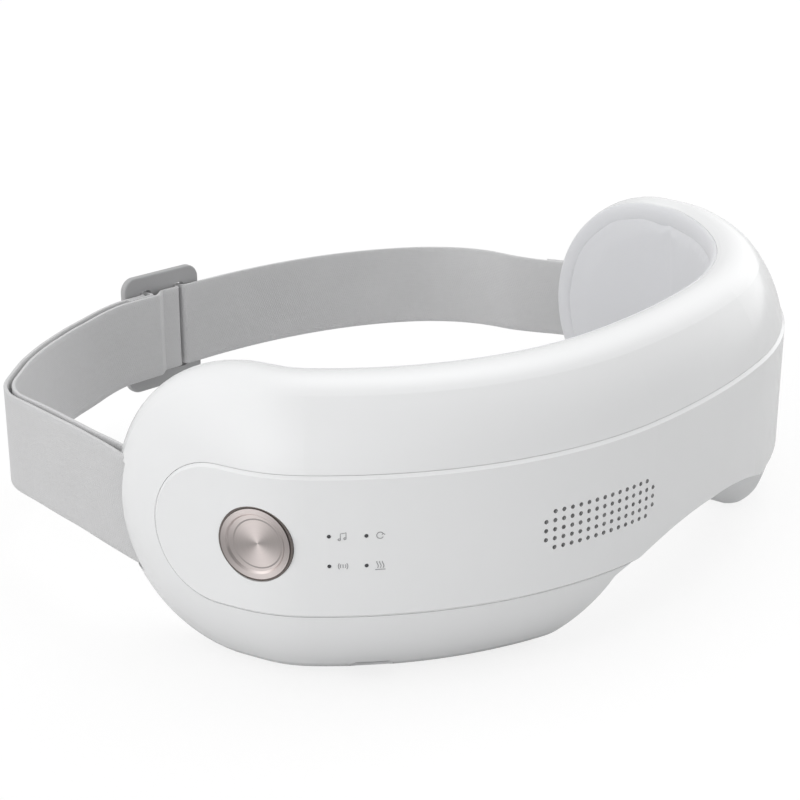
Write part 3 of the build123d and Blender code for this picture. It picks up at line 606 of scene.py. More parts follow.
def picot_row(tree: PathTree, graph: Graph, path: Sock, size: Dict[str, Sock]) -> Sock:
    """Set one thread loop after another along the path, standing up from the edge.

    Args:
        tree: The tree, which turns the copies.
        graph: Its nodes.
        path: Incoming path.
        size: Its named inputs.

    Returns:
        The grown geometry.
    """
    ring = graph.sweep(graph.circle(7, size["Loop"]), graph.circle(4, size["Thread"]))
    upright = graph.node("GeometryNodeTransform", {}, {0: ring, "Rotation": (math.pi / 2, 0, 0)}).out(0)
    return graph.copies(graph.spaced(path, size["Pitch"]), upright, tree.turned(graph, True))


def hole_rims(tree: PathTree, graph: Graph, points: Sock, size: Dict[str, Sock]) -> Sock:
    """Set a small rounded rim on each point, facing "up".

    Args:
        tree: The tree, which turns the copies.
        graph: Its nodes.
        points: Incoming points.
        size: Its named inputs.

    Returns:
        The grown geometry.
    """
    ring = graph.sweep(graph.circle(14, size["Radius"]), graph.circle(6, size["Rim"]))
    return graph.copies(points, ring, tree.turned(graph, False))


STRAND = PathTree("laid strand", {"Radius": 0.2 * MM}, strand)
STITCHES = PathTree("stitch row", {"Pitch": 2.6 * MM, "Length": 1.9 * MM, "Width": 0.4 * MM}, stitch_row)
PICOTS = PathTree("picot edge", {"Pitch": 0.7 * MM, "Loop": 0.32 * MM, "Thread": 0.13 * MM}, picot_row)
RIMS = PathTree("hole rims", {"Radius": 0.5 * MM, "Rim": 0.06 * MM}, hole_rims)


def path_mesh(
    name: str, runs: Sequence[Sequence[Vector]], ups: Sequence[Sequence[Vector]], closed: bool = False
) -> Piece:
    """Make a path of loose edges that stores its "up" directions.

    Args:
        name: Name of the path and of what grows from it.
        runs: Points of each run.
        ups: Direction away from the surface at each point.
        closed: Whether each run ends where it starts.

    Returns:
        The path.
    """
    points, edges, flat = [], [], []
    for run, up in zip(runs, ups):
        base = len(points)
        points.extend(run)
        flat.extend(up)
        edges.extend([base + k, base + k + 1] for k in range(len(run) - 1))
        if closed:
            edges.append([base + len(run) - 1, base])
    mesh = bpy.data.meshes.new(name)
    mesh.from_pydata([tuple(p) for p in points], edges, [])
    store = mesh.attributes.new("up", "FLOAT_VECTOR", "POINT")
    store.data.foreach_set("vector", [c for up in flat for c in up])
    return put(name, mesh)


# ---------------------------------------------------------------- the visor's form
@dataclass(frozen=True)
class VisorForm:
    """Plan curve and section of the visor in metres, standing where the CAD nodes stand."""

    front_radius: float = 216 * MM
    front_angle: float = math.radians(7)
    cheek_radius: float = 103 * MM
    cheek_angle: float = math.radians(48)
    corner_radius: float = 34 * MM
    corner_angle: float = math.radians(27)
    tries: int = 25

    @property
    def front(self) -> float:
        """The band's foremost y."""
        return BOXES["band_panel"][0][1]

    def plan(self, distance: float, depth: float = 0.0, height: float = 0.0) -> Tuple[Vector, Vector]:
        """Find a point on or behind the band.

        Args:
            distance: Length along the band from the nose, left as minus.
            depth: How far the point lies behind the band.
            height: Its height.

        Returns:
            The point and the outward direction.
        """
        side = 1.0 if distance >= 0 else -1.0
        left = abs(distance)
        x, y, angle = 0.0, self.front, 0.0
        for radius, turn in (
            (self.front_radius, self.front_angle),
            (self.cheek_radius, self.cheek_angle),
            (self.corner_radius, self.corner_angle),
        ):
            part = min(left / radius, turn)
            x += radius * (math.sin(angle + part) - math.sin(angle))
            y += radius * (math.cos(angle) - math.cos(angle + part))
            angle += part
            left -= part * radius
        x += max(left, 0.0) * math.cos(angle)
        y += max(left, 0.0) * math.sin(angle)
        outward = Vector((math.sin(angle) * side, -math.cos(angle), 0))
        return Vector((x * side, y, height)) - outward * depth, outward

    def locate(self, point: Vector) -> Pair:
        """Find where a point lies on the visor.

        Args:
            point: Any point of the visor.

        Returns:
            Its distance along the band and its depth behind it.
        """
        distance = point.x
        for _ in range(self.tries):
            spot, outward = self.plan(distance, 0.0, point.z)
            distance += (point - spot).dot(UP.cross(outward))
        spot, outward = self.plan(distance, 0.0, point.z)
        return distance, (spot - point).dot(outward)


FORM = VisorForm()


@dataclass
class CaseDetail:
    """Fine detail of the white case: dark rims just inside the grille holes, which are painted shade,
    moulded rims round the lights and printed pictograms.
    """

    grille_place: float = -43.0 * MM
    grille_height: float = 33.0 * MM
    columns: int = 15
    rows: int = 5
    pitch: float = 2.3 * MM
    row_pitch: float = 2.15 * MM
    hole: float = 1.0 * MM
    sunk: float = 0.07 * MM
    led_place: float = -103.8 * MM
    led_height: float = 33.8 * MM
    led_pitch: float = 7.9 * MM
    led_row_pitch: float = 6.9 * MM
    icon_step: float = 2.9 * MM
    icon_size: float = 2.4 * MM
    stroke: float = 0.09 * MM

    def light(self, column: int, row: int) -> Pair:
        """Distance along the band and height of a light, each side of the middle."""
        place = self.led_place + column * self.led_pitch / 2
        return place, self.led_height + row * self.led_row_pitch / 2

    def rims(
        self, name: str, places: Sequence[Pair], material: Material, radius: float
    ) -> None:
        """Put a fine rim round each hole of the band.

        Args:
            name: The piece's name.
            places: Distance along the band and height of each hole.
            material: Finish of the rims.
            radius: Radius of each rim.
        """
        spots = [FORM.plan(distance, 0.0, height) for distance, height in places]
        points = path_mesh(name, [[spot] for spot, _ in spots], [[out] for _, out in spots])
        piece = RIMS.apply(points, material, Radius=radius)
        hand_over(piece, "shell_white")

    def strokes(self, icon: Icon) -> List[List[Pair]]:
        """Lines of a pictogram.

        Args:
            icon: Which pictogram.

        Returns:
            Lines in a square of side two round the origin, up and to the right.
        """
        if icon is Icon.MUSIC:
            places = ((-0.62, -0.62), (0.38, -0.42))
            heads = [oval(place, 0.22, 0.17, (0, 2 * math.pi), 9) for place in places]
            return heads + [[(-0.42, -0.6), (-0.42, 0.5), (0.58, 0.7), (0.58, -0.4)]]
        if icon is Icon.AIR:
            return [oval((0, 0), 0.62, 0.62, (0.5, 5.8), 12), [(0.3, 0.1), (0.55, 0.32), (0.85, 0.1)]]
        if icon is Icon.BUZZ:
            halves = [(side * reach, reach) for side in (-1, 1) for reach in (0.5, 0.85)]
            arcs = [oval((0, 0), wide, tall, (-0.7, 0.7), 6) for wide, tall in halves]
            return arcs + [[(0, -0.35), (0, 0.35)]]
        waves = [
            [(x + 0.14 * math.sin(t * 5.2), -0.55 + 1.3 * t) for t in np.linspace(0, 1, 10)]
            for x in (-0.5, 0.0, 0.5)
        ]
        return waves + [[(-0.9, -0.85), (0.9, -0.85)]]

    def print_icons(self, material: Material) -> None:
        """Print the four pictograms beside their lights.

        Args:
            material: Finish of the printed lines.
        """
        layout = {(-1, 1): Icon.MUSIC, (1, 1): Icon.AIR, (-1, -1): Icon.BUZZ, (1, -1): Icon.HEAT}
        runs, ups = [], []
        for (column, row), icon in layout.items():
            place, height = self.light(column, row)
            start = place + self.icon_step
            for line in self.strokes(icon):
                spots = [
                    FORM.plan(start + a * self.icon_size / 2, 0.0, height + b * self.icon_size / 2)
                    for a, b in line
                ]
                runs.append([spot for spot, _ in spots])
                ups.append([out for _, out in spots])
        piece = STRAND.apply(path_mesh("status_icons", runs, ups), material, Radius=self.stroke)
        hand_over(piece, "bezel_dark")

    def build(self, rim: Material, dark: Material, ink: Material) -> None:
        """Make the rims and the pictograms.

        Args:
            rim: Finish of the moulded rims round the lights.
            dark: Finish of the dark rims just inside the grille holes, painted shade on the hole walls.
            ink: Finish of the printed lines.
        """
        grille = [
            (
                self.grille_place + (column - (self.columns - 1) / 2) * self.pitch,
                self.grille_height + (row - (self.rows - 1) / 2) * self.row_pitch,
            )
            for column in range(self.columns) for row in range(self.rows)
            if column not in (0, self.columns - 1) or row not in (0, self.rows - 1)
        ]
        lights = [self.light(column, row) for column in (-1, 1) for row in (-1, 1)]
        # Painted shade: dark rims sunk just inside the grille holes darken them as shade in the holes
        # would.
        self.rims("grille_shade_rims", grille, dark, self.hole / 2 - self.sunk)
        self.rims("light_rims", lights, rim, self.hole / 2)
        self.print_icons(ink)


# ---------------------------------------------------------------- soft face side
@dataclass
class SoftFace:
    """The foam cushion with its skin, the two warm eye pads and their seams."""

    voxel: float = 1.6 * MM
    eye_voxel: float = 0.8 * MM
    inset: float = 0.15 * MM
    eye_inset: float = 0.1 * MM
    fill: float = 0.8
    eye_fill: float = 0.7
    cap: float = 0.7 * MM
    smoothings: int = 2
    pressure: float = 4.0
    frames: int = 20
    eye_place: float = 34.4 * MM
    eye_height: float = 43.0 * MM
    eye_width: float = 44.0 * MM
    eye_tall: float = 29.0 * MM
    seam_step: float = 1.6 * MM
    seam_away: float = 2.4 * MM
    seam_depth: float = 20.6 * MM
    seam_tries: int = 12
    rim_flat: float = 0.05 * MM
    lip_step: float = 1.2 * MM
    lip_section: Tuple[Pair, ...] = (
        (-0.12, 0.03), (-0.02, 0.25), (-0.12, 0.62), (-0.50, 1.05), (-1.20, 1.42), (-2.20, 1.66),
        (-3.20, 1.74), (-4.40, 1.62), (-5.60, 1.20), (-5.60, 0.70), (-1.80, 0.03),
    )

    def swell(self, node: str, material: Material, voxel: float, inset: float) -> Piece:
        """Turn a CAD pad into a softly filled one.

        Args:
            node: The CAD node, which the new piece replaces.
            material: Finish of its skin.
            voxel: Size of the skin's mesh.
            inset: How far the pad shrinks first.

        Returns:
            The padded piece.
        """
        piece = merged_copy(node, f"{node}_soft", material)
        remesh = piece.modifiers.new("remesh", "REMESH")
        remesh.mode, remesh.voxel_size, remesh.use_smooth_shade = "VOXEL", voxel, True
        self.settle(piece)
        rest = self.shrink(piece, inset)
        self.inflate(piece)
        self.limit(piece, rest)
        finer = piece.modifiers.new("finer", "SUBSURF")
        finer.levels = finer.render_levels = 1
        self.settle(piece)
        piece.data.polygons.foreach_set("use_smooth", [True] * len(piece.data.polygons))
        piece.data.materials.clear()
        piece.data.materials.append(material)
        return piece

    @staticmethod
    def settle(piece: Piece) -> None:
        """Turn a piece's modifiers into plain mesh.

        Args:
            piece: The piece, changed in place.
        """
        bpy.context.view_layer.update()
        held = piece.evaluated_get(bpy.context.evaluated_depsgraph_get())
        mesh = bpy.data.meshes.new_from_object(held)
        piece.modifiers.clear()
        piece.data = mesh

    def shrink(self, piece: Piece, inset: float) -> np.ndarray:
        """Relax a pad's corners and draw its skin in.

        Args:
            piece: The remeshed pad.
            inset: Distance that each point moves inwards.

        Returns:
            The points afterwards.
        """
        work = bmesh.new()
        work.from_mesh(piece.data)
        for _ in range(self.smoothings):
            bmesh.ops.smooth_vert(
                work, verts=work.verts, factor=0.5, use_axis_x=True, use_axis_y=True, use_axis_z=True
            )
        work.normal_update()
        for vert in work.verts:
            vert.co -= vert.normal * inset
        work.to_mesh(piece.data)
        work.free()
        return np.array([v.co for v in piece.data.vertices])

    def inflate(self, piece: Piece) -> None:
        """Fill the pad with pressure, as its foam does.

        Args:
            piece: The pad, changed in place.
        """
        cloth = piece.modifiers.new("fill", "CLOTH")
        cloth.settings.use_pressure = True
        cloth.settings.uniform_pressure_force = self.pressure
        cloth.settings.effector_weights.gravity = 0.0
        cloth.point_cache.frame_start, cloth.point_cache.frame_end = 1, self.frames
        scene = bpy.context.scene
        for step in range(1, self.frames + 1):
            scene.frame_set(step)
        self.settle(piece)
        scene.frame_set(1)

    def limit(self, piece: Piece, rest: np.ndarray) -> None:
        """Keep each point within the cap's distance of where it was.

        Args:
            piece: The filled pad.
            rest: Its points before the filling.
        """
        now = np.array([v.co for v in piece.data.vertices])
        move = now - rest
        reach = np.linalg.norm(move, axis=1, keepdims=True)
        move *= np.minimum(1.0, self.cap / np.maximum(reach, 1e-9))
        piece.data.vertices.foreach_set("co", (rest + move).ravel())
        piece.data.update()

    def rim_line(self) -> List[Vector]:
        """Outer edge of the shell's rim.

        Returns:
            Evenly spaced points, once round the face side.
        """
        work = bmesh.new()
        work.from_mesh(bpy.data.objects["front_shell"].data)
        bmesh.ops.remove_doubles(work, verts=work.verts, dist=MERGE)
        depths = {vert: FORM.locate(vert.co)[1] for vert in work.verts}
        deepest = max(depths.values()) - self.rim_flat
        rim = {face for face in work.faces if min(depths[vert] for vert in face.verts) > deepest}
        joined: Dict[bmesh.types.BMVert, List[bmesh.types.BMVert]] = {}
        for edge in work.edges:
            if sum(face in rim for face in edge.link_faces) == 1:
                first, last = edge.verts
                joined.setdefault(first, []).append(last)
                joined.setdefault(last, []).append(first)
        start = max(joined, key=lambda vert: vert.co.z)
        line, before, here = [start.co.copy()], start, joined[start][0]
        while here is not start:
            line.append(here.co.copy())
            ahead = joined[here][0] if joined[here][1] is before else joined[here][1]
            before, here = here, ahead
        work.free()
        return self.even(line)

    def even(self, line: Sequence[Vector]) -> List[Vector]:
        """Space the points of a closed line evenly.

        Args:
            line: The points, the last one before the first.

        Returns:
            The new points.
        """
        ring = np.array([*line, line[0]])
        along = np.concatenate([[0.0], np.cumsum(np.linalg.norm(np.diff(ring, axis=0), axis=1))])
        count = int(along[-1] / self.lip_step)
        places = np.linspace(0.0, along[-1], count, endpoint=False)
        return [Vector(spot) for spot in zip(*(np.interp(places, along, ring[:, k]) for k in range(3)))]

    def lip(self, skin: Material) -> Piece:
        """Mould the skin's lip, which lies on the shell's rim.

        Args:
            skin: Finish of the cushion.

        Returns:
            The lip, once round the face side.
        """
        line = self.rim_line()
        middle = sum(line, Vector()) / len(line)
        frames = []
        for k, spot in enumerate(line):
            along = (line[(k + 1) % len(line)] - line[k - 1]).normalized()
            towards = -FORM.plan(FORM.locate(spot)[0])[1]
            frames.append((spot, along.cross(towards).normalized(), towards))
        side = math.copysign(1.0, sum((spot - middle).dot(away) for spot, away, _ in frames))
        points = [
            spot + away * (side * across * MM) + towards * (rise * MM)
            for spot, away, towards in frames for across, rise in self.lip_section
        ]
        faces = tube_faces(len(line), len(self.lip_section), closed=True)
        lip = add_mesh("cushion_lip", points, faces, skin)
        turn_outward(lip)
        return lip

    @staticmethod
    def join(piece: Piece, other: Piece) -> None:
        """Take another piece's mesh into a piece.

        Args:
            piece: The piece that grows.
            other: The other, which is removed.
        """
        work = bmesh.new()
        work.from_mesh(piece.data)
        work.from_mesh(other.data)
        work.to_mesh(piece.data)
        work.free()
        bpy.data.objects.remove(other, do_unlink=True)

    def eye_line(self, side: int) -> Tuple[List[Vector], List[Vector]]:
        """Oval line round an eye pad on the face side.

        Args:
            side: Minus one for the left pad, one for the right.

        Returns:
            The line's points and the directions away from the cushion.
        """
        centre, out = FORM.plan(side * self.eye_place)
        across = UP.cross(out).normalized()
        a, b = self.eye_width / 2 + self.seam_away, self.eye_tall / 2 + self.seam_away
        count = int(math.pi * (a + b) / self.seam_step)
        points, ups = [], []
        for k in range(count):
            turn = 2 * math.pi * k / count
            want = a * math.cos(turn)
            distance = side * self.eye_place + want
            for _ in range(self.seam_tries):
                spot, way = FORM.plan(distance, self.seam_depth)
                distance += want - (spot - centre).dot(across)
            spot, way = FORM.plan(distance, self.seam_depth, self.eye_height + b * math.sin(turn))
            points.append(spot)
            ups.append(-way)
        return points, ups

    def build(self, skin: Material, silk: Material, thread: Material) -> None:
        """Make the cushion, the eye pads and their stitched seams.

        Args:
            skin: Finish of the cushion.
            silk: Finish of the eye pads.
            thread: Finish of the stitches.
        """
        cushion = self.swell("face_cushion", skin, self.voxel, self.inset)
        self.join(cushion, self.lip(skin))
        hand_over(cushion, "cushion_grey", "face_cushion")
        for name in ("left", "right"):
            pad = self.swell(f"eye_pad_{name}", silk, self.eye_voxel, self.eye_inset)
            hand_over(pad, "cushion_grey", f"eye_pad_{name}")
        lines, ups = zip(*(self.eye_line(side) for side in (-1, 1)))
        seam = STITCHES.apply(path_mesh("eye_seam", lines, ups, closed=True), thread)
        hand_over(seam, "cushion_grey")


# ---------------------------------------------------------------- head strap
@dataclass
class HeadStrap:
    """One continuous elastic webbing, from the right pin round the head to the buckle bar."""

    thickness: float = 1.2 * MM
    right_bend: Pair = (5.5 * MM, 35.1 * MM)
    right_lean: float = math.radians(6)
    right_share: float = 0.743
    right_angle: float = math.radians(39)
    left_bend: Pair = (9.3 * MM, 56.5 * MM)
    left_lean: float = math.radians(15)
    left_share: float = 0.53
    left_angle: float = math.radians(42)
    tail_shares: Tuple[float, ...] = (0.62, 0.52, 0.42)
    inner_shares: Pair = (0.66, 0.33)
    pin_exit: float = 12.65 * MM
    pin_wrap: float = 2.0 * MM
    layer: float = 1.35 * MM
    loop_gap: float = 0.8 * MM
    weave_radius: float = 0.8 * MM
    fit: float = 0.3 * MM
    buckle_length: float = 27 * MM
    buckle_wall: float = 2.2 * MM
    buckle_tilt: float = math.radians(-8)
    slot_place: float = 6.1 * MM
    slot_width: float = 3.8 * MM
    pin_lean: float = math.radians(82)
    step: float = 0.8 * MM
    least_step: float = 0.12 * MM
    arc_points: int = 6
    flow_points: int = 4
    side_points: int = 19
    bead: float = 0.14 * MM
    edge_run: Tuple[Pair, ...] = ((0.36 * MM, -0.12 * MM), (0.0, 0.0), (-0.36 * MM, -0.12 * MM))
    edge_start: float = 0.4 * MM
    edge_sunk: float = 0.3 * MM
    core_share: float = 0.84
    welt_place: float = 0.95
    welt_width: float = 0.05
    loop_centre: Vector = Vector((-40 * MM, 30 * MM, 0))
    sway: Tuple[Tuple[float, float, float], ...] = (
        (-13, 0.0, 0.0), (-8, -1.0, -2.2), (2, -0.1, -0.1), (68, 0.0, 0.0), (82, -2.2, -1.5),
        (96, -1.8, -1.2), (128, 0.5, 1.2), (156, 0.4, 1.0), (190, 3.2, 3.8), (201, 2.2, 3.0),
        (209, 0.0, 0.0),
    )  # degrees round loop_centre, then the rise of the lower and the upper edge in mm
    ease: float = 4.0  # degrees either way over which the rise is averaged
    ease_points: int = 9

    def edge_lift(self, spot: Vector) -> Pair:
        """Find how far the webbing's edges stray from the level, as soft webbing does.

        Args:
            spot: Point of the webbing in plan.

        Returns:
            Rise of the lower and of the upper edge.
        """
        way = spot - self.loop_centre
        turn = math.degrees(math.atan2(way.y, way.x))
        turn += 360.0 if turn < -90.0 else 0.0
        turns, *edges = zip(*self.sway)
        near = turn + np.linspace(-self.ease, self.ease, self.ease_points)
        low, high = (float(np.interp(near, turns, edge).mean()) * MM for edge in edges)
        return low, high

    def pin_way(self, side: int) -> Vector:
        """Direction from a pin towards the back."""
        return Vector((math.cos(self.pin_lean) * side, math.sin(self.pin_lean), 0))

    def pin(self, side: int, across: float, along: float) -> Vector:
        """Point in plan at a strap pin.

        Args:
            side: Minus one for the left pin, one for the right.
            across: Distance into the mask.
            along: Distance towards the back.

        Returns:
            The point.
        """
        centre = CENTRES["strap_pin_right" if side > 0 else "strap_pin_left"]
        back = self.pin_way(side)
        inward = left_of(back) * side
        return Vector((centre.x, centre.y, 0)) + inward * across + back * along

    @property
    def buckle_back(self) -> float:
        """The y of the buckle's middle."""
        return CENTRES["strap_buckle"].y

    def buckle(self, along: float, across: float) -> Vector:
        """Point in plan at the buckle: along to the right, across towards the back."""
        centre = Vector((0, self.buckle_back, 0))
        return centre + turned_by(self.buckle_tilt) @ Vector((along, across, 0))

    def arc(self, start: Vector, way: Vector, radius: float, angle: float) -> List[Vector]:
        """Points of an arc.

        Args:
            start: Its first point.
            way: Direction at the first point.
            radius: Its radius.
            angle: Its angle; a positive one turns left.

        Returns:
            The points in order.
        """
        side = 1.0 if angle > 0 else -1.0
        centre = start + left_of(way).normalized() * radius * side
        count = max(self.arc_points, int(abs(angle) * radius / self.step))
        return [centre + turned_by(angle * k / count) @ (start - centre) for k in range(count + 1)]

    def flow(self, points: Sequence[Vector], first: Vector, last: Vector) -> List[Vector]:
        """Smooth run through points with given end directions.

        Args:
            points: The points that it passes.
            first: Unit direction at its start.
            last: Unit direction at its end.

        Returns:
            Points along the run.
        """
        spots = np.array(points)
        spans = np.linalg.norm(np.diff(spots, axis=0), axis=1)
        slopes = np.diff(spots, axis=0) / spans[:, None]
        system, right = np.eye(len(spots)), np.zeros(spots.shape)
        right[0], right[-1] = first, last
        for k in range(1, len(spots) - 1):
            before, after = spans[k - 1:k + 1]
            system[k, k - 1:k + 2] = after, 2 * (before + after), before
            right[k] = 3 * (slopes[k] * before + slopes[k - 1] * after)
        ways = np.linalg.solve(system, right)
        out: List[Vector] = []
        for k, span in enumerate(spans):
            count = max(self.flow_points, int(span / self.step))
            for t in np.linspace(0, 1, count + 1)[min(k, 1):]:
                near, far = spots[k] * (1 + 2 * t) * (1 - t) ** 2, spots[k + 1] * (3 - 2 * t) * t**2
                leave, reach = ways[k] * t * (1 - t) ** 2, ways[k + 1] * (t - 1) * t**2
                out.append(Vector(near + far + (leave + reach) * span))
        return out

    def weave(self, corners: Sequence[Vector]) -> List[Vector]:
        """Straight runs between corners, each corner rounded.

        Args:
            corners: The corners in order.

        Returns:
            Points along the run.
        """
        out = [corners[0]]
        for before, here, after in zip(corners, corners[1:], corners[2:]):
            into, away = (here - before).normalized(), (after - here).normalized()
            turn = into.angle(away)
            room = min((here - before).length, (after - here).length) / 2
            cut = min(self.weave_radius * math.tan(turn / 2), room)
            side = math.copysign(1.0, left_of(into).dot(away))
            out.extend(self.arc(here - into * cut, into, cut / math.tan(turn / 2), turn * side))
        return out + [corners[-1]]

    @staticmethod
    def beside(run: Sequence[Vector], share: float, gap: float) -> Vector:
        """Point outside a run by a gap.

        Args:
            run: The run's points.
            share: Place along them, from zero to one.
            gap: Distance to the right of the run.

        Returns:
            The point.
        """
        place = share * (len(run) - 1)
        k = min(int(place), len(run) - 2)
        spot = run[k].lerp(run[k + 1], place - k)
        way = (run[k + 1] - run[k]).normalized()
        return spot - left_of(way) * gap

    def route(self) -> List[Vector]:
        """Centre line of the webbing in plan, from its right tail to its end at the buckle.

        Returns:
            The line's points in order.
        """
        wrap = self.pin_wrap
        slot_end = self.slot_place + self.slot_width / 2
        bar = self.slot_place - self.slot_width / 2
        crossing = slot_end - self.thickness / 2 - self.fit
        turning = bar + self.thickness / 2 + self.fit
        on = (self.buckle_wall + self.thickness) / 2 + self.fit
        off = self.buckle_length / 2 + self.buckle_wall
        tilt = turned_by(self.buckle_tilt) @ Vector((1, 0, 0))
        bend = self.pin(1, 0, 0) + Vector((-self.right_bend[0], self.right_bend[1], 0))
        lean = Vector((-math.sin(self.right_lean), math.cos(self.right_lean), 0))
        radius = self.right_share * (self.buckle_back - bend.y)
        left_bend = self.pin(-1, 0, 0) + Vector((*self.left_bend, 0))
        left_lean = Vector((math.sin(self.left_lean), math.cos(self.left_lean), 0))
        left_radius = self.left_share * (self.buckle_back - left_bend.y)
        within = self.thickness + self.loop_gap
        inner = left_bend - left_of(left_lean) * within
        lead = self.flow([
            self.pin(1, wrap, 0), self.pin(1, wrap / 4, self.pin_exit), bend,
        ], self.pin_way(1), lean)
        k = int(self.tail_shares[0] * (len(lead) - 1))
        tail = self.flow([
            *(self.beside(lead, share, self.layer) for share in self.tail_shares), self.pin(1, -wrap, 0),
        ], -(lead[k + 1] - lead[k]).normalized(), -self.pin_way(1))
        round_right = self.arc(self.pin(1, -wrap, 0), -self.pin_way(1), wrap, -math.pi)
        corner = self.arc(bend, lean, radius, self.right_angle)
        way = turned_by(self.right_angle) @ lean
        rear_right = self.flow([corner[-1], self.buckle(off, -on)], way, -tilt)
        over = self.weave([
            self.buckle(off, -on), self.buckle(crossing + self.fit, -on),
            self.buckle(crossing - self.fit, on + self.layer),
            self.buckle(self.fit - crossing, on + self.layer),
            self.buckle(-crossing - self.fit, -on), self.buckle(-off, -on),
        ])
        left_corner = self.arc(left_bend, left_lean, left_radius, -self.left_angle)
        left_way = turned_by(-self.left_angle) @ left_lean
        rear_left = self.flow([self.buckle(-off, -on), left_corner[-1]], -tilt, -left_way)
        left_lead = self.flow([
            left_bend, self.pin(-1, -wrap / 4, self.pin_exit), self.pin(-1, -wrap, 0),
        ], -left_lean, -self.pin_way(-1))
        round_left = self.arc(self.pin(-1, -wrap, 0), -self.pin_way(-1), wrap, math.pi)
        gap = -self.layer - self.loop_gap
        inner_points = [self.beside(left_lead, share, gap) for share in self.inner_shares]
        inner_lead = self.flow([round_left[-1], *inner_points, inner], self.pin_way(-1), left_lean)
        inner_corner = self.arc(inner, left_lean, left_radius - within, -self.left_angle)
        inside = on + 2 * self.layer
        rear_inner = self.flow([inner_corner[-1], self.buckle(-off, -inside)], left_way, tilt)
        end = self.weave([
            self.buckle(-off, -inside), self.buckle(-bar, -inside), self.buckle(-bar / 4, -on),
            self.buckle(turning, -on), self.buckle(turning, on), self.buckle(-turning, on),
            self.buckle(-turning, -on - self.layer),
            self.buckle(-self.buckle_length / 2, -on - self.layer),
        ])
        line: List[Vector] = []
        for run in (
            tail, round_right, lead, corner, rear_right, over, rear_left, left_corner[::-1], left_lead,
            round_left, inner_lead, inner_corner, rear_inner, end,
        ):
            line.extend(run if not line else run[1:])
        return line

    def section(self) -> List[Pair]:
        """Cross-section of the webbing.

        Returns:
            Offsets across its thickness and heights over its middle, once round.
        """
        low, high = BOXES["head_strap"]
        half = (high[2] - low[2]) / 2 - self.bead
        side = []
        for u in np.linspace(-1, 1, self.side_points):
            welt = math.exp(-((abs(u) - self.welt_place) / self.welt_width) ** 2)
            wall = self.thickness / 2 * (self.core_share + (1 - self.core_share) * welt)
            side.append((wall, u * (half - self.edge_start)))
        top = [(n, half + z) for n, z in self.edge_run]
        return side + top + [(-n, -z) for n, z in side + top]

    def ways(self, line: Sequence[Vector]) -> List[Vector]:
        """Smoothed directions along a line."""
        pairs = zip([line[0], *line], [*line[1:], line[-1]])
        return [(after - before).normalized() for before, after in pairs]

    def build(self, cloth: Material, thread: Material) -> None:
        """Make the webbing and its looped edges.

        Args:
            cloth: Finish of the webbing.
            thread: Finish of the edge loops.
        """
        low, high = BOXES["head_strap"]
        middle = (low[2] + high[2]) / 2
        kept: List[Vector] = []
        for spot in self.route():
            if not kept or (spot - kept[-1]).length > self.least_step:
                kept.append(spot)
        ways = self.ways(kept)
        section = self.section()
        points, runs = [], []
        travelled = 0.0
        reach = max(z for _, z in section)
        for k, (spot, way) in enumerate(zip(kept, ways)):
            side = left_of(way)
            drop, lift = self.edge_lift(spot)
            for n, z in section:
                share = (z / reach + 1) / 2
                points.append(spot + side * n + UP * (middle + z + drop + (lift - drop) * share))
            travelled += (spot - kept[k - 1]).length if k else 0.0
            runs.extend((travelled, z) for _, z in section)
        webbing = add_mesh("webbing", points, tube_faces(len(kept), len(section)), cloth)
        layer = webbing.data.uv_layers.new(name="run")
        corners = [runs[loop.vertex_index] for loop in webbing.data.loops]
        layer.data.foreach_set("uv", [c for pair in corners for c in pair])
        turn_outward(webbing)
        hand_over(webbing, "strap_fabric", "head_strap")
        self.edge_loops(kept, middle, (high[2] - low[2]) / 2, thread)
        LOG.info("webbing length %.3f m", travelled)

    def edge_loops(self, line: Sequence[Vector], middle: float, half: float, thread: Material) -> None:
        """Set fine thread loops along both edges of the webbing.

        Args:
            line: The webbing's centre line in plan.
            middle: Height of its middle.
            half: Half its width.
            thread: Finish of the loops.
        """
        runs = []
        for end, side in enumerate((-1, 1)):
            height = middle + side * (half - self.edge_sunk)
            runs.append([spot + UP * (height + self.edge_lift(spot)[end]) for spot in line])
        sides = [left_of(way) for way in self.ways(line)]
        piece = PICOTS.apply(path_mesh("webbing_edges", runs, [sides, sides]), thread)
        hand_over(piece, "strap_fabric")


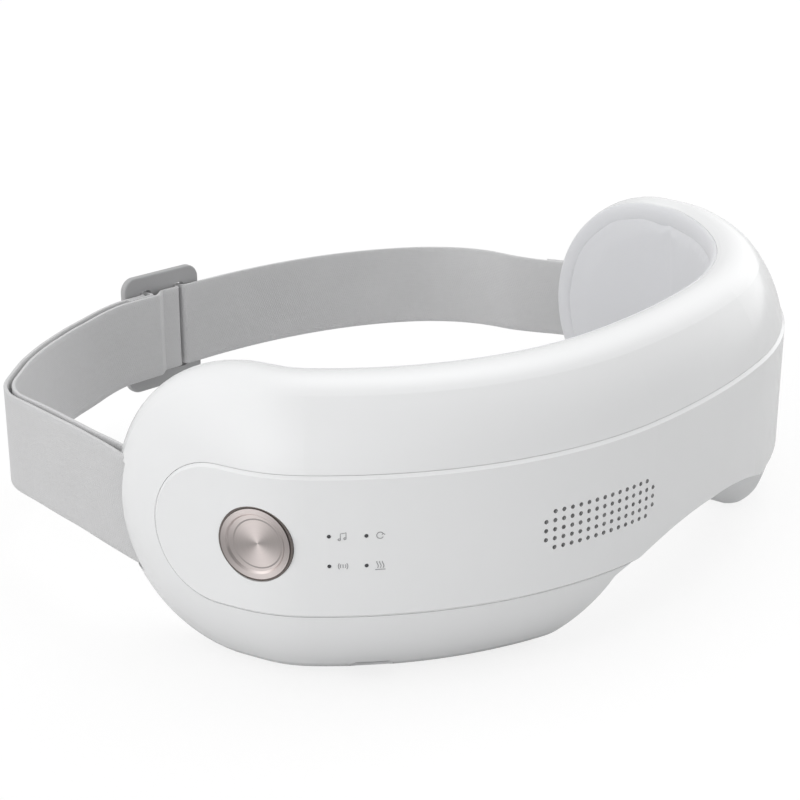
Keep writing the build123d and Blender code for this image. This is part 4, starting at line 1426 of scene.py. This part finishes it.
# ---------------------------------------------------------------- studio
@dataclass
class Studio:
    """Pale floor, soft light all round and the camera."""

    eye: Vector = Vector((-0.3583, -0.2674, 0.1951))
    heading: Vector = Vector((0.7997, 0.6004, 0.0))
    pitch: float = math.radians(20.5)
    lens: float = 80.1
    sensor: float = 36.0
    clip: Pair = (0.01, 50.0)
    floor_radius: float = 6.0
    floor_height: float = -0.2 * MM
    floor_glow: float = 0.8
    room: float = 0.3
    tightness: float = 8.0
    windows: Tuple[Tuple[Colour, float], ...] = (
        ((0.34, 0.0, 0.94), 2.2), ((-1.0, 0.0, 0.2), 1.9), ((1.0, 0.0, 0.2), 1.5),
        ((-0.54, 0.54, 0.64), 1.0), ((-0.7, -0.7, 0.2), 0.6), ((0.0, 1.0, 0.2), 0.5),
    )

    def camera(self) -> None:
        """Set the camera."""
        data = bpy.data.cameras.new("camera")
        data.lens, data.sensor_width = self.lens, self.sensor
        data.clip_start, data.clip_end = self.clip
        camera = bpy.data.objects.new("camera", data)
        flat = self.heading.normalized()
        way = flat * math.cos(self.pitch) - UP * math.sin(self.pitch)
        camera.location = self.eye
        camera.rotation_euler = way.to_track_quat("-Z", "Y").to_euler()
        bpy.context.scene.collection.objects.link(camera)
        bpy.context.scene.camera = camera

    def floor(self) -> None:
        """Lay the pale floor, which shows white and keeps the shadow."""
        material = bpy.data.materials.new("studio_floor")
        material.use_nodes = True
        graph = Graph(material.node_tree)
        material.node_tree.nodes.clear()
        rays = graph.node("ShaderNodeLightPath")
        seen = rays.out("Is Camera Ray")
        tone = graph.mix(seen, (0.7, 0.7, 0.7, 1.0), (1.0, 1.0, 1.0, 1.0))
        matt = graph.node("ShaderNodeBsdfDiffuse", {}, {"Color": tone})
        glow = graph.node("ShaderNodeEmission", {}, {"Color": (1, 1, 1, 1), "Strength": 1.0})
        share = seen * self.floor_glow
        both = graph.node("ShaderNodeMixShader", {}, {0: share, 1: matt.out(0), 2: glow.out(0)})
        graph.node("ShaderNodeOutputMaterial", {}, {0: both.out(0)})
        rim = oval((0, 0), self.floor_radius, self.floor_radius, (0, 2 * math.pi), 65)[:-1]
        points = [(*spot, self.floor_height) for spot in rim]
        floor = add_mesh("floor", points, [range(len(rim))], material)

    def world(self) -> None:
        """Light the room evenly, white where the camera looks."""
        world = bpy.data.worlds.new("studio")
        bpy.context.scene.world = world
        world.use_nodes = True
        graph = Graph(world.node_tree)
        world.node_tree.nodes.clear()
        rays = graph.node("ShaderNodeLightPath")
        way = graph.node("ShaderNodeTexCoord").out("Generated")
        light: Value = self.room
        for toward, power in self.windows:
            facing = graph.dot(way, Vector(toward).normalized()).above(0.0)
            light = facing ** self.tightness * power + light
        seen = rays.out("Is Camera Ray")
        strength = seen + (1.0 - seen) * light
        back = graph.node("ShaderNodeBackground", {}, {"Color": (1, 1, 1, 1), "Strength": strength})
        graph.node("ShaderNodeOutputWorld", {}, {0: back.out(0)})

    def build(self) -> None:
        """Make the whole studio."""
        self.camera()
        self.floor()
        self.world()
        bpy.context.scene.view_settings.view_transform = "Standard"


# ---------------------------------------------------------------- the whole
def button_axis() -> Tuple[Vector, Vector]:
    """Find the power button's axis.

    Returns:
        Centre of its face and its outward direction.
    """
    press = next(joint for joint in frame["joints"] if joint["name"] == "power_button_press")
    return CENTRES["power_button"], -Vector(press["axis"]).normalized()


def finishes() -> Dict[str, Finish]:
    """Every finish of the mask by material slot or use.

    Returns:
        The finishes.
    """
    centre, axis = button_axis()
    return {
        "shell_white": Finish(
            "gloss white", (0.84, 0.845, 0.85), 0.24, coat=0.3, shade=0.01, drift=0.03
        ),
        "frame_grey": Finish("frame grey", (0.30, 0.31, 0.32), 0.5, relief=0.02 * MM),
        "cushion_grey": Finish(
            "soft grey skin", (0.71, 0.715, 0.735), 0.55, sheen=0.25, relief=0.03 * MM,
            grain=1800.0, drift=0.1,
        ),
        "eye_silk": Finish(
            "eye pad skin", (0.66, 0.65, 0.65), 0.5, sheen=0.4, relief=0.02 * MM, grain=2200.0
        ),
        "film_amber": Finish("heater film", (0.62, 0.30, 0.06), 0.3, shade=0.1),
        "button_metal": SpunMetal(
            "spun rose metal", (0.97, 0.88, 0.855), 0.28, metallic=1.0, centre=centre, axis=axis
        ),
        "button_ring": Finish("turned ring", (0.20, 0.175, 0.165), 0.35, metallic=1.0, drift=0.1),
        "bezel_dark": Finish("bezel dark", (0.035, 0.035, 0.037), 0.42, relief=0.01 * MM),
        "steel": Finish("steel", (0.56, 0.56, 0.57), 0.28, metallic=1.0, drift=0.1),
        "board_green": Finish("board lacquer", (0.03, 0.16, 0.08), 0.35, shade=0.12, coat=0.3),
        "led_white": Finish("led lens", (0.85, 0.86, 0.80), 0.2),
        "guide_smoke": Finish("smoked guide", (0.05, 0.05, 0.055), 0.15, coat=0.3),
        "black_plastic": Finish("black plastic", (0.03, 0.03, 0.032), 0.4, relief=0.015 * MM),
        "cell_silver": Finish("cell foil", (0.55, 0.56, 0.58), 0.33, metallic=0.9, drift=0.12),
        "foam_black": Finish("foam", (0.045, 0.045, 0.047), 0.95, relief=0.15 * MM, grain=1200.0),
        "weight_brass": Finish("brass weight", (0.72, 0.50, 0.22), 0.3, metallic=1.0, drift=0.1),
        "strap_fabric": Webbing("elastic webbing", (0.66, 0.66, 0.665), 0.85, sheen=0.3, specular=0.2),
        "thread": Finish("edge thread", (0.72, 0.72, 0.725), 0.8, sheen=0.4, specular=0.2, shade=0.08),
        "buckle_grey": Finish(
            "buckle plastic", (0.42, 0.42, 0.425), 0.45, relief=0.012 * MM, grain=1500.0
        ),
        "ink": Finish("printed grey", (0.30, 0.30, 0.31), 0.5),
    }


def main() -> None:
    """Build and dress the mask and the studio."""
    logging.basicConfig(level=logging.INFO, format="%(name)s: %(message)s")
    made = {use: finish.make() for use, finish in finishes().items()}
    special = {"speaker_mesh": "black_plastic", "button_bezel": "button_ring"}
    for name in frame["nodes"]:
        for slot in bpy.data.objects[name].material_slots:
            slot.material = made[special.get(name, slot.material.name.split(".")[0])]
        LOG.info("%s dressed", name)
    CaseDetail().build(made["shell_white"], made["bezel_dark"], made["ink"])
    SoftFace().build(made["cushion_grey"], made["eye_silk"], made["thread"])
    HeadStrap().build(made["strap_fabric"], made["thread"])
    Studio().build()


if __name__ == "__main__":
    main()
